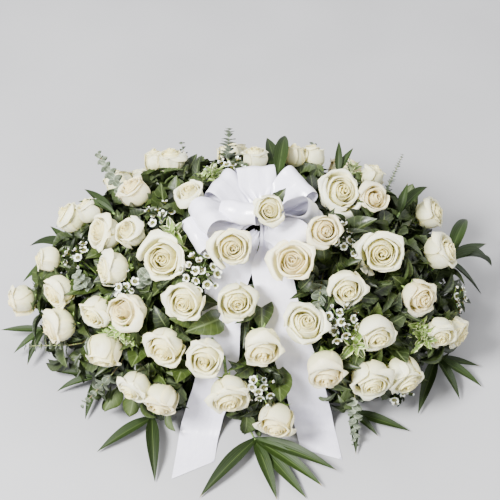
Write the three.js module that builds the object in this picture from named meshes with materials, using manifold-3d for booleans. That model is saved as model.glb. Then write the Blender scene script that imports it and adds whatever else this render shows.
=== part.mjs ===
// Casket spray: white roses, palm, eucalyptus, wax flowers and a satin bow, in floral foam on a saddle tray.
// Millimetres, +Z up. The origin is the middle of the tray's flat underside, +X runs along the casket,
// and -Y faces the viewer.
import * as THREE from "three";
import Module from "manifold-3d";

const { Vector3, MathUtils } = THREE;
const wasm = await Module();
wasm.setup();

const vec = (x, y, z) => new Vector3(x, y, z);
const { degToRad, smoothstep, lerp } = MathUtils;

// Driving dimensions

const GAP = 0.3; // clearance between pieces that touch

const DOME = { half: 430, front: 271, back: 320, rise: 275, skirt: 60 }; // where the rose heads' middles lie

const TRAY = { long: 480, deep: 130, high: 28, wall: 3, corner: 24 };
const FOAM = { long: 460, deep: 110, high: 80, corner: 8 };
const HUB_SPREAD = 0.45; // how far a stem's foot is out along X, as a share of its head
const HUB_X = [-185, -115, -40, 40, 115, 185];
const HUB_Z = 48;
const BUNDLE = { pitch: 5.5, longest: 62, radius: 4.5, end: 3, sides: 4 }; // feet of stems bound in a row

const STEM = { foot: 1.9, neck: 2.7, sides: 3 };
const RIBBON = { wide: 70, thick: 1, pinch: 12 };
const BOW_KNOT_RADIUS = 11;

// The picture that the flowers are placed by: its pixels, and the line of sight through each

const PICTURE = { px: 247, py: 250, millimetres: 1.89, elevation: 50, distance: 2600 };
const AIM = vec(0, 87, 133);
const tilt = degToRad(PICTURE.elevation);
const TO_VIEWER = vec(0, -Math.cos(tilt), Math.sin(tilt));
const PICTURE_RIGHT = vec(1, 0, 0);
const PICTURE_UP = vec(0, Math.sin(tilt), Math.cos(tilt));
const EYE = AIM.clone().addScaledVector(TO_VIEWER, PICTURE.distance);
const UP = vec(0, 0, 1);

function sightLine(px, py) {
  return AIM.clone()
    .addScaledVector(PICTURE_RIGHT, (px - PICTURE.px) * PICTURE.millimetres)
    .addScaledVector(PICTURE_UP, (PICTURE.py - py) * PICTURE.millimetres)
    .sub(EYE)
    .normalize();
}

function atHeight(px, py, z) {
  const line = sightLine(px, py);
  return EYE.clone().addScaledVector(line, (z - EYE.z) / line.z);
}

function level(p) {
  const reach = p.y < 0 ? DOME.front : DOME.back;
  return Math.hypot(p.x / DOME.half, p.y / reach, Math.max(0, p.z - DOME.skirt) / DOME.rise);
}

function outward(p) {
  const reach = p.y < 0 ? DOME.front : DOME.back;
  const height = Math.max(0, p.z - DOME.skirt) / DOME.rise ** 2;
  return vec(p.x / DOME.half ** 2, p.y / reach ** 2, height).normalize();
}

const SEARCH = { from: 800, to: 900, step: 4, lowest: 2 }; // along a sight line, about the middle of it

// First point of a sight line on the dome grown by share, or else its nearest approach
function onDome(px, py, share = 1, lowest = SEARCH.lowest) {
  const line = sightLine(px, py);
  let nearest = null;
  let least = Infinity;
  for (let far = -SEARCH.from; far < SEARCH.to; far += SEARCH.step) {
    const p = EYE.clone().addScaledVector(line, PICTURE.distance + far);
    if (p.z < lowest) break;
    if (level(p) < least) {
      least = level(p);
      nearest = p;
    }
    if (least <= share) break;
  }
  return nearest;
}

// A direction that leans off the line of sight, towards a heading in the picture
function facing(lean, heading) {
  const side = PICTURE_RIGHT.clone()
    .multiplyScalar(Math.cos(degToRad(heading)))
    .addScaledVector(PICTURE_UP, Math.sin(degToRad(heading)));
  return TO_VIEWER.clone()
    .multiplyScalar(Math.cos(degToRad(lean)))
    .addScaledVector(side, Math.sin(degToRad(lean)));
}

// Solids from rings of points, zipped together whatever their counts. A ring of one point is a tip.
// mirrored: the second half of each ring is split the other way, so a thin band is alike on both faces.

function skin(rings, mirrored = false) {
  const points = rings.flat();
  const starts = [];
  rings.reduce((start, ring) => {
    starts.push(start);
    return start + ring.length;
  }, 0);
  const faces = [];
  const steps = (count) => (count > 1 ? count : 0);
  for (let r = 0; r + 1 < rings.length; r++) {
    const [low, high] = [rings[r].length, rings[r + 1].length];
    const [a, b] = [starts[r], starts[r + 1]];
    let [i, j] = [0, 0];
    while (i < steps(low) || j < steps(high)) {
      const [from, to] = [a + (i % low), b + (j % high)];
      const behind = (i + 0.5) / low - (j + 0.5) / high;
      const isLowNext = mirrored && 2 * i >= low ? behind < 0 : behind <= 0;
      if (j >= steps(high) || (i < steps(low) && isLowNext)) {
        faces.push([from, a + ((i + 1) % low), to]);
        i++;
      } else {
        faces.push([from, b + ((j + 1) % high), to]);
        j++;
      }
    }
  }
  const cap = (start, count, turn) => {
    for (let k = 1; k + 1 < count; k++) {
      faces.push(turn ? [start, start + k + 1, start + k] : [start, start + k, start + k + 1]);
    }
  };
  cap(starts[0], rings[0].length, true);
  cap(starts.at(-1), rings.at(-1).length, false);
  const cross = vec(0, 0, 0);
  const volume = faces.reduce(
    (sum, [i, j, k]) => sum + points[i].dot(cross.crossVectors(points[j], points[k])), 0);
  if (volume < 0) faces.forEach((face) => face.reverse());
  return new THREE.BufferGeometry()
    .setFromPoints(points)
    .setIndex(faces.flat());
}

function solidOf(geometry) {
  return new wasm.Manifold(new wasm.Mesh({
    numProp: 3,
    vertProperties: new Float32Array(geometry.getAttribute("position").array),
    triVerts: new Uint32Array(geometry.index.array),
  }));
}

function join(solids) {
  return wasm.Manifold.union(solids);
}

const FUSED_WITHIN = 0.2; // joined pieces lose edges finer than this

// The largest body of a solid: a cut can leave loose crumbs
function largest(solid) {
  return solid.decompose().reduce((best, body) => (body.volume() > best.volume() ? body : best));
}

const boxes = new WeakMap();

function boxOf(solid) {
  if (!boxes.has(solid)) boxes.set(solid, solid.boundingBox());
  return boxes.get(solid);
}

function boxesMeet(a, b) {
  const [p, q] = [boxOf(a), boxOf(b)];
  return [0, 1, 2].every((k) => p.min[k] <= q.max[k] && q.min[k] <= p.max[k]);
}

const NO_OVERLAP = 1e-4; // mm3

function isClear(solid, others) {
  return others.every((other) => !boxesMeet(solid, other) || solid.intersect(other).volume() < NO_OVERLAP);
}

// Unit vectors along and across a path of points
function framesAlong(points, sideways) {
  let across = sideways ? sideways.clone() : vec(0.3, 0.9, 0.2);
  return points.map((p, k) => {
    const along = points[Math.min(k + 1, points.length - 1)]
      .clone()
      .sub(points[Math.max(k - 1, 0)])
      .normalize();
    across = across.clone().addScaledVector(along, -across.dot(along)).normalize();
    return { along, across, over: along.clone().cross(across) };
  });
}

function tube(points, radii, sides, grow = 0) {
  const frames = framesAlong(points);
  return solidOf(skin(points.map((p, k) => {
    const radius = (Array.isArray(radii) ? radii[k] : radii) + grow;
    return Array.from({ length: sides }, (_, s) => {
      const turn = (2 * Math.PI * s) / sides;
      return p.clone()
        .addScaledVector(frames[k].across, radius * Math.cos(turn))
        .addScaledVector(frames[k].over, radius * Math.sin(turn));
    });
  })));
}

// A leaf blade with a raised midrib: a ridge and two edges at each station, and a point at its tip
function blade(path, wide, shape, normal, rib = 1.7, grow = 0) {
  const frames = framesAlong(path, normal);
  return solidOf(skin(path.map((p, k) => {
    if (shape[k] === 0) return [p.clone().addScaledVector(frames[k].along, k ? grow : -grow)];
    const half = (wide / 2) * shape[k] + grow;
    return [
      p.clone().addScaledVector(frames[k].over, half).addScaledVector(frames[k].across, -rib / 2 - grow),
      p.clone().addScaledVector(frames[k].across, rib / 2 + 1.5 * grow),
      p.clone().addScaledVector(frames[k].over, -half).addScaledVector(frames[k].across, -rib / 2 - grow),
    ];
  })));
}

// Points from a root to a tip that arch over and then droop
function arch(root, tip, rise, steps, up = UP) {
  return Array.from({ length: steps + 1 }, (_, k) => {
    const t = k / steps;
    return root.clone().lerp(tip, t).addScaledVector(up, rise * 4 * t * (1 - t));
  });
}

// Widths of a blade from its root to its tip, as shares of the widest
const PALM_SHAPE = [0, 0.95, 0.8, 0];
const OVATE = [0.12, 1, 0.8, 0];
const SHORT = [0, 1, 0];

// Rose head: whorls of petals nested in each other round a bud. Local Z is the flower's axis.

const PETALS = 5;
const HEAD_SIDES = 2 * PETALS;
const PLAIN_RINGS = 2; // the lowest rings have one point a petal, the others have two
const SEAT = 0.24; // radius of the seat on the calyx, as a share of the bloom's
const THROAT = 0.68; // height of the middle, as a share of the head's

// Each ring of the head: radius and height as shares of the bloom's, how far its petal tips stand out
// in radius and in height, and its turn in half petals
function headRings(open) {
  return [
    { radius: SEAT, height: 0, out: 0, lift: 0, turn: 0 },
    { radius: 0.84, height: 0.36, out: 0, lift: 0, turn: 0.5 },
    { radius: 0.93, height: lerp(0.86, 0.66, open), out: 0.07, lift: 0.02, turn: 0 },
    { radius: 0.72, height: lerp(0.8, 0.6, open), out: 0.02, lift: 0, turn: 0.5 },
    { radius: 0.6, height: 0.95, out: 0.06, lift: 0.04, turn: 1 },
  ];
}

function headHeight(wide, open) {
  return (wide / 2) * lerp(1.9, 1.1, open);
}

function headPoint(rose, radius, turn, height) {
  return rose.base.clone()
    .addScaledVector(rose.side, radius * Math.cos(turn))
    .addScaledVector(rose.over, radius * Math.sin(turn))
    .addScaledVector(rose.axis, height);
}

function roseHead(rose, grow = 0) {
  const bloom = rose.wide / 2 + grow;
  const tall = rose.high + 2 * grow;
  const lowered = { ...rose, base: rose.base.clone().addScaledVector(rose.axis, -grow) };
  const rings = headRings(rose.open).map((ring, level) => {
    const count = level < PLAIN_RINGS ? PETALS : HEAD_SIDES;
    return Array.from({ length: count }, (_, k) => {
      const tip = k % 2 ? 1 : -1;
      const turn = (2 * Math.PI * (k + ring.turn)) / count;
      const height = tall * (ring.height + tip * ring.lift);
      return headPoint(lowered, bloom * (ring.radius + tip * ring.out), turn, height);
    });
  });
  return solidOf(skin([...rings, [headPoint(lowered, 0, 0, tall * THROAT)]]));
}

// Puts a rose's head on its own axis, with its middle at a point
function aimRose(rose, middle) {
  const side = rose.axis.clone().cross(Math.abs(rose.axis.z) < 0.9 ? UP : PICTURE_RIGHT).normalize();
  return {
    ...rose,
    middle,
    base: middle.clone().addScaledVector(rose.axis, -rose.high / 2),
    side,
    over: rose.axis.clone().cross(side),
  };
}

// The roses. px, py: the middle of the head in the picture. wide: bloom, mm. lean, heading: the axis, as
// degrees off the line of sight and towards which way. open: 0 a bud, 1 full. Heads in one list touch.

const BOW_ROSE_RISE = -44; // how far the rose in the bow stands out along the sight line
const rose = (px, py, wide, lean, heading, open = 0.35) => ({ px, py, wide, lean, heading, open });

const HEADS = [
  [rose(155, 161, 48, 80, 100, 0.1), rose(180, 161, 60, 70, 95)],
  [rose(135, 192, 66, 60, 125)],
  [rose(190, 196, 58, 45, 110)],
  [rose(72, 218, 66, 75, 150), rose(92, 209, 50, 70, 120, 0.1)],
  [rose(105, 233, 68, 50, 170), rose(139, 234, 62, 40, 140)],
  [rose(113, 269, 68, 70, 185)],
  [rose(164, 259, 84, 12, 200, 0.8)],
  [rose(48, 260, 50, 75, 175, 0.1)],
  [rose(59, 291, 64, 60, 215)],
  [rose(22, 300, 58, 80, 195, 0.2)],
  [rose(186, 300, 76, 25, 230, 0.6)],
  [{ ...rose(232, 247, 74, 15, 300, 0.8), slide: -16 }],
  [rose(236, 300, 74, 25, 290, 0.7)],
  [rose(97, 311, 62, 55, 230), rose(133, 311, 80, 30, 190, 0.6)],
  [rose(59, 326, 72, 70, 205)],
  [rose(104, 350, 66, 72, 262, 0.2)],
  [rose(166, 346, 76, 45, 235, 0.6)],
  [rose(206, 357, 74, 25, 250, 0.6)],
  [rose(135, 386, 62, 60, 235), rose(167, 402, 70, 65, 255)],
  [rose(229, 394, 78, 50, 280, 0.5)],
  [rose(294, 156, 50, 80, 88, 0.1), rose(318, 157, 50, 80, 85, 0.1)],
  [rose(255, 158, 54, 70, 90)],
  [rose(338, 192, 90, 25, 20, 0.7), rose(379, 201, 68, 25, 20)],
  [{ ...rose(270, 209, 58, 12, 250, 0.5), slide: BOW_ROSE_RISE, inBow: true }],
  [rose(323, 230, 66, 15, 330, 0.6)],
  [rose(294, 263, 80, 18, 120, 0.8)],
  [rose(382, 252, 86, 15, 270, 0.9)],
  [rose(429, 214, 66, 65, 20)],
  [rose(440, 252, 72, 60, 20)],
  [rose(346, 287, 70, 30, 290, 0.5)],
  [rose(418, 296, 68, 35, 320, 0.4)],
  [rose(372, 176, 50, 75, 60, 0.1)],
  [rose(263, 346, 74, 45, 275)],
  [rose(304, 325, 80, 25, 60, 0.7)],
  [rose(376, 332, 70, 45, 290)],
  [rose(440, 332, 60, 45, 280), rose(468, 330, 66, 70, 330)],
  [rose(326, 369, 76, 55, 275)],
  [rose(371, 378, 82, 50, 280, 0.6), rose(414, 373, 80, 60, 300)],
  [rose(277, 420, 72, 55, 255)],
];

// The roses on the back slope, by their place on it
const backRose = (x, height, wide, open = 0.35) => ({ x, height, wide, open });
const BACK_HEADS = [
  [backRose(-250, 150, 70), backRose(-180, 128, 64, 0.6)],
  [backRose(-30, 175, 74, 0.5), backRose(48, 150, 68)],
  [backRose(190, 165, 72), backRose(262, 135, 64, 0.5)],
];

function pointOnBack(x, height) {
  const rest = 1 - (x / DOME.half) ** 2 - ((height - DOME.skirt) / DOME.rise) ** 2;
  return vec(x, DOME.back * Math.sqrt(rest), height);
}

const LOWEST_ROSE = 8; // how far the lowest petals stay above the surface

function frontMiddle(plan, slide) {
  const middle = onDome(plan.px, plan.py, 1, plan.wide / 2 + LOWEST_ROSE);
  return middle.addScaledVector(sightLine(plan.px, plan.py), slide + (plan.slide ?? 0));
}

function shapedRose(plan) {
  const front = plan.px !== undefined;
  const axis = front ? facing(plan.lean, plan.heading) : outward(pointOnBack(plan.x, plan.height));
  return { ...plan, front, axis, high: headHeight(plan.wide, plan.open) };
}

function middleOf(plan, slide) {
  if (plan.front) return frontMiddle(plan, slide);
  return pointOnBack(plan.x, plan.height).addScaledVector(plan.axis, -slide);
}

// Slides tried along the sight line, nearest first, until a head is clear of the ones before it
const SLIDES = [0, 6, -6, 12, -12, 18, -18, 24, -24, 30, -30, 38, -38, 46, -46, 54, -54];
const OVERLAP_MM3 = 60; // how much two touching heads share

// Moves a head towards its partner until the two share a little
function snuggle(partner, plan) {
  for (let share = 0; share < 0.7; share += 0.02) {
    const there = middleOf(plan, 0).lerp(partner.middle, share);
    const made = aimRose(plan, there);
    if (roseHead(made).intersect(roseHead(partner)).volume() > OVERLAP_MM3) return made;
  }
  throw new Error("a rose at " + plan.px + " doesn't reach its partner");
}

function growHeads(blockers) {
  const groups = [];
  for (const plans of [...HEADS, ...BACK_HEADS]) {
    const shaped = plans.map(shapedRose);
    const grown = [];
    for (const slide of SLIDES) {
      const first = aimRose(shaped[0], middleOf(shaped[0], slide));
      const roses = [first, ...shaped.slice(1).map((plan) => snuggle(first, plan))];
      grown.push(roses);
      if (isClear(join(roses.map((r) => roseHead(r, 2 * GAP))), blockers)) break;
    }
    const roses = grown.at(-1);
    const solid = join(roses.map((r) => roseHead(r)));
    groups.push({ roses, solid, slides: grown.length });
    blockers.push(solid);
  }
  return groups;
}

// Satin bow: teardrop loops of ribbon round a knot. px, py, share: a loop's tip. roll: its turn, degrees.

const KNOT = onDome(262, 217, 0.84);
const loop = (px, py, share, high, roll) => ({ px, py, share, high, roll });
const LOOPS = [
  loop(254, 170, 1.02, 46, 0),
  loop(303, 182, 1.04, 50, 10),
  loop(314, 212, 1.0, 52, -20),
  loop(296, 244, 1.02, 44, 15),
  loop(200, 218, 1.06, 56, 5),
  loop(193, 238, 0.98, 40, -10),
  loop(216, 184, 1.0, 44, -5),
  loop(238, 212, 1.1, 50, 20),
];
const LOOP_STEPS = 7;

// A band of ribbon along points, with its width across each. slant: how far one corner of the end is ahead.
function band(points, across, wide, grow = 0, slant = 0) {
  return solidOf(skin(points.map((p, k) => {
    const along = points[Math.min(k + 1, points.length - 1)]
      .clone()
      .sub(points[Math.max(k - 1, 0)])
      .normalize();
    const side = across[k].clone().addScaledVector(along, -across[k].dot(along)).normalize();
    const over = along.clone().cross(side);
    const half = wide[k] / 2 + grow;
    const thick = RIBBON.thick / 2 + grow;
    const ahead = k === points.length - 1 ? slant / 2 : 0;
    return [[-1, -1], [1, -1], [1, 1], [-1, 1]].map(([s, o]) => p.clone()
      .addScaledVector(side, s * half)
      .addScaledVector(over, o * thick)
      .addScaledVector(along, s * ahead));
  }), true));
}

function bowLoop({ px, py, share, high, roll }, grow = 0) {
  const tip = onDome(px, py, share);
  const reach = tip.clone().sub(KNOT);
  const along = reach.clone().normalize();
  const middle = KNOT.clone().lerp(tip, 0.5);
  const lift = outward(middle).addScaledVector(along, -outward(middle).dot(along)).normalize();
  lift.applyAxisAngle(along, degToRad(roll));
  const across = along.clone().cross(lift);
  const points = [];
  const widths = [];
  for (let k = 0; k <= LOOP_STEPS; k++) {
    const t = k / LOOP_STEPS;
    const out = Math.sin(Math.PI * t) ** 0.8;
    const rise = -(high / 2) * Math.sin(2 * Math.PI * t);
    const start = KNOT.clone().addScaledVector(along, BOW_KNOT_RADIUS / 2);
    points.push(start.addScaledVector(reach, out).addScaledVector(lift, rise));
    widths.push(lerp(RIBBON.pinch, RIBBON.wide, smoothstep(Math.min(t, 1 - t), 0, 0.28)));
  }
  return band(points, points.map(() => across), widths, grow);
}

function bow(grow = 0) {
  const knot = ball(KNOT, BOW_KNOT_RADIUS + grow, THREE.IcosahedronGeometry);
  return join([...LOOPS.map((plan) => bowLoop(plan, grow)), knot]);
}

// A knob where stems or loops meet
function ball(middle, radius, Shape = THREE.OctahedronGeometry) {
  const geometry = new Shape(radius, 0);
  geometry.translate(middle.x, middle.y, middle.z);
  const flat = new THREE.BufferGeometry().setAttribute("position", geometry.getAttribute("position"));
  return solidOf(weld(flat));
}

// Joins vertices that lie at one place
function weld(geometry) {
  const source = geometry.index ? geometry.toNonIndexed() : geometry;
  const places = new Map();
  const points = [];
  const index = [];
  const position = source.getAttribute("position");
  for (let k = 0; k < position.count; k++) {
    const p = vec(0, 0, 0).fromBufferAttribute(position, k);
    const key = p.toArray().map((value) => value.toFixed(3)).join();
    if (!places.has(key)) {
      places.set(key, points.length);
      points.push(p);
    }
    index.push(places.get(key));
  }
  return new THREE.BufferGeometry().setFromPoints(points).setIndex(index);
}

// Ribbon tails: they leave the knot, pass down among the front roses and lie out over the surface.
// px, py: the middle line. share: depth in the dome, or height: above the surface. wide: across.

const hung = (px, py, share, wide = RIBBON.wide) => ({ px, py, share, wide });
const lying = (px, py, height, wide = RIBBON.wide) => ({ px, py, height, wide });
const TAILS = {
  ribbon_tail_left: [
    hung(257, 231, 0.8, 16), hung(250, 241, 0.79, 34), hung(236, 262, 0.76), hung(225, 290, 0.8),
    hung(221, 325, 0.8), hung(219, 357, 0.74), hung(213, 388, 0.78), hung(204, 415, 0.84),
    lying(199, 436, 4), lying(193, 470, 2),
  ],
  ribbon_tail_right: [
    hung(264, 222, 0.84, 14), hung(269, 245, 0.83, 34), hung(271, 268, 0.84), hung(276, 295, 0.84),
    hung(283, 325, 0.82), hung(294, 356, 0.8), hung(304, 386, 0.8), hung(311, 412, 0.84),
    lying(316, 432, 4), lying(321, 454, 2),
  ],
};
const TAIL_SLANTS = { ribbon_tail_left: 45, ribbon_tail_right: -35 }; // of the cut ends, mm

function ribbonTail(name, grow = 0) {
  const stations = TAILS[name];
  const points = stations.map(({ px, py, share, height }) =>
    height === undefined ? onDome(px, py, share) : atHeight(px, py, height));
  const across = points.map((p, k) => {
    const normal = stations[k].height === undefined ? outward(p) : UP;
    const along = points[Math.min(k + 1, points.length - 1)].clone().sub(points[Math.max(k - 1, 0)]);
    return along.cross(normal).normalize();
  });
  return band(points, across, stations.map(({ wide }) => wide), grow, TAIL_SLANTS[name]);
}

// Stems: each runs from a hub in the foam to its flower, bent clear of what is in its way

const BENDS = [12, 22, 34, 48, 64].flatMap((shift) =>
  Array.from({ length: 8 }, (_, turn) => ({ shift, turn: (turn * Math.PI) / 4 })));
BENDS.unshift({ shift: 0, turn: 0 });
const BEND_PLACE = 0.6; // where along a stem it bends
const SHARPEST = 0.25; // the least cosine between two stretches of a stem

function isEasy(points) {
  return points.slice(1, -1).every((p, k) => {
    const [into, out] = [p.clone().sub(points[k]), points[k + 2].clone().sub(p)];
    return into.normalize().dot(out.normalize()) > SHARPEST;
  });
}

function routed(foot, ends, radii, sides, blockers) {
  const line = ends[0].clone().sub(foot);
  const side = line.clone().cross(UP).normalize();
  const over = side.clone().cross(line).normalize();
  for (const { shift, turn } of BENDS) {
    const middle = foot.clone()
      .addScaledVector(line, BEND_PLACE)
      .addScaledVector(side, shift * Math.cos(turn))
      .addScaledVector(over, shift * Math.sin(turn));
    const points = shift > 0 ? [foot, middle, ...ends] : [foot, ...ends];
    if (!isEasy(points)) continue;
    const sizes = points.map((_, k) => (k ? radii[1] : radii[0]));
    if (isClear(tube(points, sizes, sides, GAP), blockers)) return { points, sizes, sides };
  }
  return null;
}

// The growing spray: solid pieces by node, and the stems that need holes in the foam

const spray = new Map();
const piercing = [];

function piecesOf(node) {
  if (!spray.has(node)) spray.set(node, []);
  return spray.get(node);
}

function everythingBut(...nodes) {
  return [...spray].filter(([name]) => !nodes.includes(name)).flatMap(([, pieces]) => pieces);
}

function addStem(node, stem) {
  piecesOf(node).push(tube(stem.points, stem.sizes, stem.sides));
  piercing.push(tube(stem.points, stem.sizes, stem.sides, FOAM_HOLE));
}

// Feet of a node's stems, bound in a row along X in the order of what they reach, so that they don't cross
const feet = new Map();

function bind(node, middle, reached) {
  const order = [...reached].sort((a, b) => a - b);
  const gaps = Math.max(1, order.length - 1);
  const pitch = Math.min(BUNDLE.pitch, BUNDLE.longest / gaps);
  const half = (pitch * gaps) / 2;
  const ends = (extra) => [-1, 1].map((way) => middle.clone().add(vec(way * (half + extra), 0, 0)));
  piecesOf(node).push(tube(ends(BUNDLE.end), BUNDLE.radius, BUNDLE.sides));
  piercing.push(tube(ends(BUNDLE.end + FOAM_HOLE), BUNDLE.radius, BUNDLE.sides, FOAM_HOLE));
  feet.set(node, (x) => {
    const place = order.filter((other) => other < x).length;
    return middle.clone().add(vec(Math.min(pitch * place, 2 * half) - half, 0, 0));
  });
}

// All that a new piece has to stay clear of, apart from the bound feet of its own node
function inTheWay(node) {
  return [...everythingBut(node), ...piecesOf(node).slice(1)];
}

// Roses: calyx of sepals, stem and one leaf

const FOAM_HOLE = 0.6; // clearance round a stem in the foam
const NECKS = [26, 20, 34, 44]; // straight stretch of stem below a head, where it needs one
const STRAIGHT = Math.cos(degToRad(50)); // a stem this near the flower's axis needs no neck
const CALYX = { sepals: 5, long: 13, tips: [0.5, 0.38, 0.28, 0.2], droop: 6 };
const GREENS = ["greens_1", "greens_2", "greens_3", "greens_4", "greens_5", "greens_6"];
const hubs = HUB_X.map((x) => vec(x, 0, HUB_Z));

function hubsByNearness(x) {
  const gap = (k) => Math.abs(HUB_X[k] - HUB_SPREAD * x);
  return HUB_X.map((_, k) => k).sort((a, b) => gap(a) - gap(b));
}

const nearestHub = (x) => hubsByNearness(x)[0];

// The stem opens into the calyx: sepal tips round a middle just under the seat
function roseStalk({ points, sizes }, flower, reach, grow = 0) {
  const frames = framesAlong(points);
  const { along, across } = frames.at(-1);
  const swing = new THREE.Quaternion().setFromUnitVectors(along, flower.axis);
  const level = across.clone().applyQuaternion(swing);
  frames[points.length - 1] = { across: level, over: flower.axis.clone().cross(level) };
  const rings = points.map((p, k) => Array.from({ length: STEM.sides }, (_, side) => {
    const turn = (2 * Math.PI * side) / STEM.sides;
    return p.clone()
      .addScaledVector(frames[k].across, (sizes[k] + grow) * Math.cos(turn))
      .addScaledVector(frames[k].over, (sizes[k] + grow) * Math.sin(turn));
  }));
  const first = Math.atan2(level.dot(flower.over), level.dot(flower.side));
  const tips = Array.from({ length: CALYX.sepals }, (_, side) => {
    const turn = first + (2 * Math.PI * side) / CALYX.sepals;
    return headPoint(flower, (flower.wide / 2) * reach + grow, turn, -CALYX.droop - grow);
  });
  return solidOf(skin([...rings, tips, [headPoint(flower, 0, 0, -GAP)]]));
}

const NECK_LEAN = 0.25; // the least cosine between a neck and its flower's axis
const NECK_SHIFTS = [0, 12, 22, 32, 42].flatMap((shift) =>
  (shift ? [0, 3, 1, 2, 4, 5] : [0]).map((turn) => ({ shift, turn: (turn * Math.PI) / 3 })));

function stemFrom(node, flower, blockers) {
  const foot = feet.get(node)(flower.base.x);
  const start = headPoint(flower, 0, 0, -CALYX.long);
  const straight = start.clone().sub(foot).normalize().dot(flower.axis) > STRAIGHT;
  for (const { shift, turn } of NECK_SHIFTS) {
    for (const neck of straight && shift === 0 ? [0, ...NECKS] : NECKS) {
      const bend = headPoint(flower, shift, turn, -neck);
      if (neck && start.clone().sub(bend).normalize().dot(flower.axis) < NECK_LEAN) continue;
      const ends = neck ? [bend, start] : [start];
      const stem = routed(foot, ends, [STEM.foot, STEM.neck], STEM.sides, blockers);
      if (!stem) continue;
      const reach = CALYX.tips.find((share) => isClear(roseStalk(stem, flower, share, GAP), blockers));
      if (!reach) continue;
      const stalk = roseStalk(stem, flower, reach);
      piecesOf(node).push(stalk);
      piercing.push(tube(stem.points, stem.sizes, STEM.sides, FOAM_HOLE));
      return { ...flower, node, stem, stalk, reach };
    }
  }
  return null;
}

// A stem keeps clear of the others if it can, and otherwise crosses those that it's bound with
function addRoseStem(flower) {
  for (const crosses of [false, true]) {
    for (const node of hubsByNearness(flower.base.x).slice(0, 3).map((k) => GREENS[k])) {
      const others = everythingBut(node, flower.inBow ? "bow_loops" : "");
      const made = stemFrom(node, flower, crosses ? others : [...others, ...piecesOf(node).slice(1)]);
      if (made) return made;
    }
  }
  throw new Error("the rose at " + flower.px + "," + flower.py + " has no way for its stem");
}

// Leaf beside a rose: it leaves the stem below the calyx and comes up between the heads
const ROSE_LEAF = { root: 6, long: 74, wide: 40, rise: 7, rib: 1.6, spread: [35, 15, 55] };
const LEAF_TURNS = 10;

function roseLeaf(flower, turn, spread, grow = 0) {
  const out = headPoint(flower, 1, turn, 0).sub(flower.base);
  const [before, start] = flower.stem.points.slice(-2);
  const root = start.clone().addScaledVector(before.clone().sub(start).normalize(), ROSE_LEAF.root);
  const tip = root.clone()
    .addScaledVector(out, ROSE_LEAF.long * Math.cos(degToRad(spread)))
    .addScaledVector(flower.axis, ROSE_LEAF.long * Math.sin(degToRad(spread)));
  const path = arch(root, tip, ROSE_LEAF.rise, 3, flower.axis);
  return blade(path, ROSE_LEAF.wide, OVATE, flower.axis, ROSE_LEAF.rib, grow);
}

function addRoseLeaf(flower) {
  const own = piecesOf(flower.node);
  const others = own.filter((piece) => piece !== flower.stalk);
  const blockers = [...everythingBut(flower.node), ...others.slice(1)];
  for (const spread of ROSE_LEAF.spread) {
    for (let k = 0; k < LEAF_TURNS; k++) {
      const turn = (2 * Math.PI * ((k * 3) % LEAF_TURNS)) / LEAF_TURNS;
      if (!isClear(roseLeaf(flower, turn, spread, 2 * GAP), blockers)) continue;
      own.push(roseLeaf(flower, turn, spread));
      return;
    }
  }
}

// Places in the picture, in the dome or at a height, or in space

const onShell = (px, py, share) => onDome(px, py, share);
const low = (px, py, height) => atHeight(px, py, height);

// Palm: each frond's heart, and the tips of its blades. The front ones lie out over the surface.

const PALM = { wide: 28, steps: 3, rachis: 2.2, rib: 1.8, root: 3, heart: 6, rises: [10, 18, 3, 28, 40] };
const FRONDS = [
  { heart: low(152, 418, 16), tips: [low(97, 452, 6), low(155, 482, 4)] },
  {
    heart: low(255, 440, 14),
    tips: [low(200, 497, 4), low(277, 500, 4), low(306, 498, 6), low(322, 486, 12), low(336, 470, 24)],
  },
  { heart: low(352, 412, 16), tips: [low(379, 437, 8), low(410, 431, 8), low(356, 455, 5)] },
  {
    heart: low(436, 358, 30),
    tips: [low(480, 366, 14), low(482, 387, 8), low(460, 400, 8), low(418, 414, 8)],
  },
  { heart: low(98, 378, 26), tips: [low(56, 392, 10), low(56, 372, 24), low(85, 420, 8)] },
  { heart: low(44, 330, 42), tips: [low(0, 330, 36), low(13, 354, 24), low(27, 366, 18)] },
  {
    heart: onShell(76, 250, 0.8),
    tips: [low(23, 282, 60), low(30, 246, 84), low(50, 226, 120)],
  },
  { heart: onShell(112, 212, 0.97), tips: [onShell(77, 202, 1.06), onShell(84, 189, 1.08)] },
  { heart: onShell(278, 178, 0.92), tips: [onShell(285, 136, 1.1), onShell(267, 138, 1.06)] },
  { heart: onShell(338, 172, 0.96), tips: [onShell(354, 147, 1.06), onShell(339, 140, 1.05)] },
  { heart: onShell(400, 212, 0.95), tips: [onShell(428, 187, 1.06), onShell(408, 182, 1.1)] },
  {
    heart: onShell(448, 262, 0.96),
    tips: [low(466, 220, 120), low(486, 244, 84), low(491, 266, 60), low(481, 294, 46)],
  },
  { heart: vec(-190, 262, 66), tips: [vec(-270, 350, 24), vec(-215, 372, 14), vec(-150, 376, 22)] },
  { heart: vec(-10, 292, 70), tips: [vec(-70, 392, 20), vec(0, 406, 12), vec(66, 390, 22)] },
  { heart: vec(180, 264, 66), tips: [vec(140, 374, 20), vec(214, 370, 12), vec(276, 342, 26)] },
];

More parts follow.
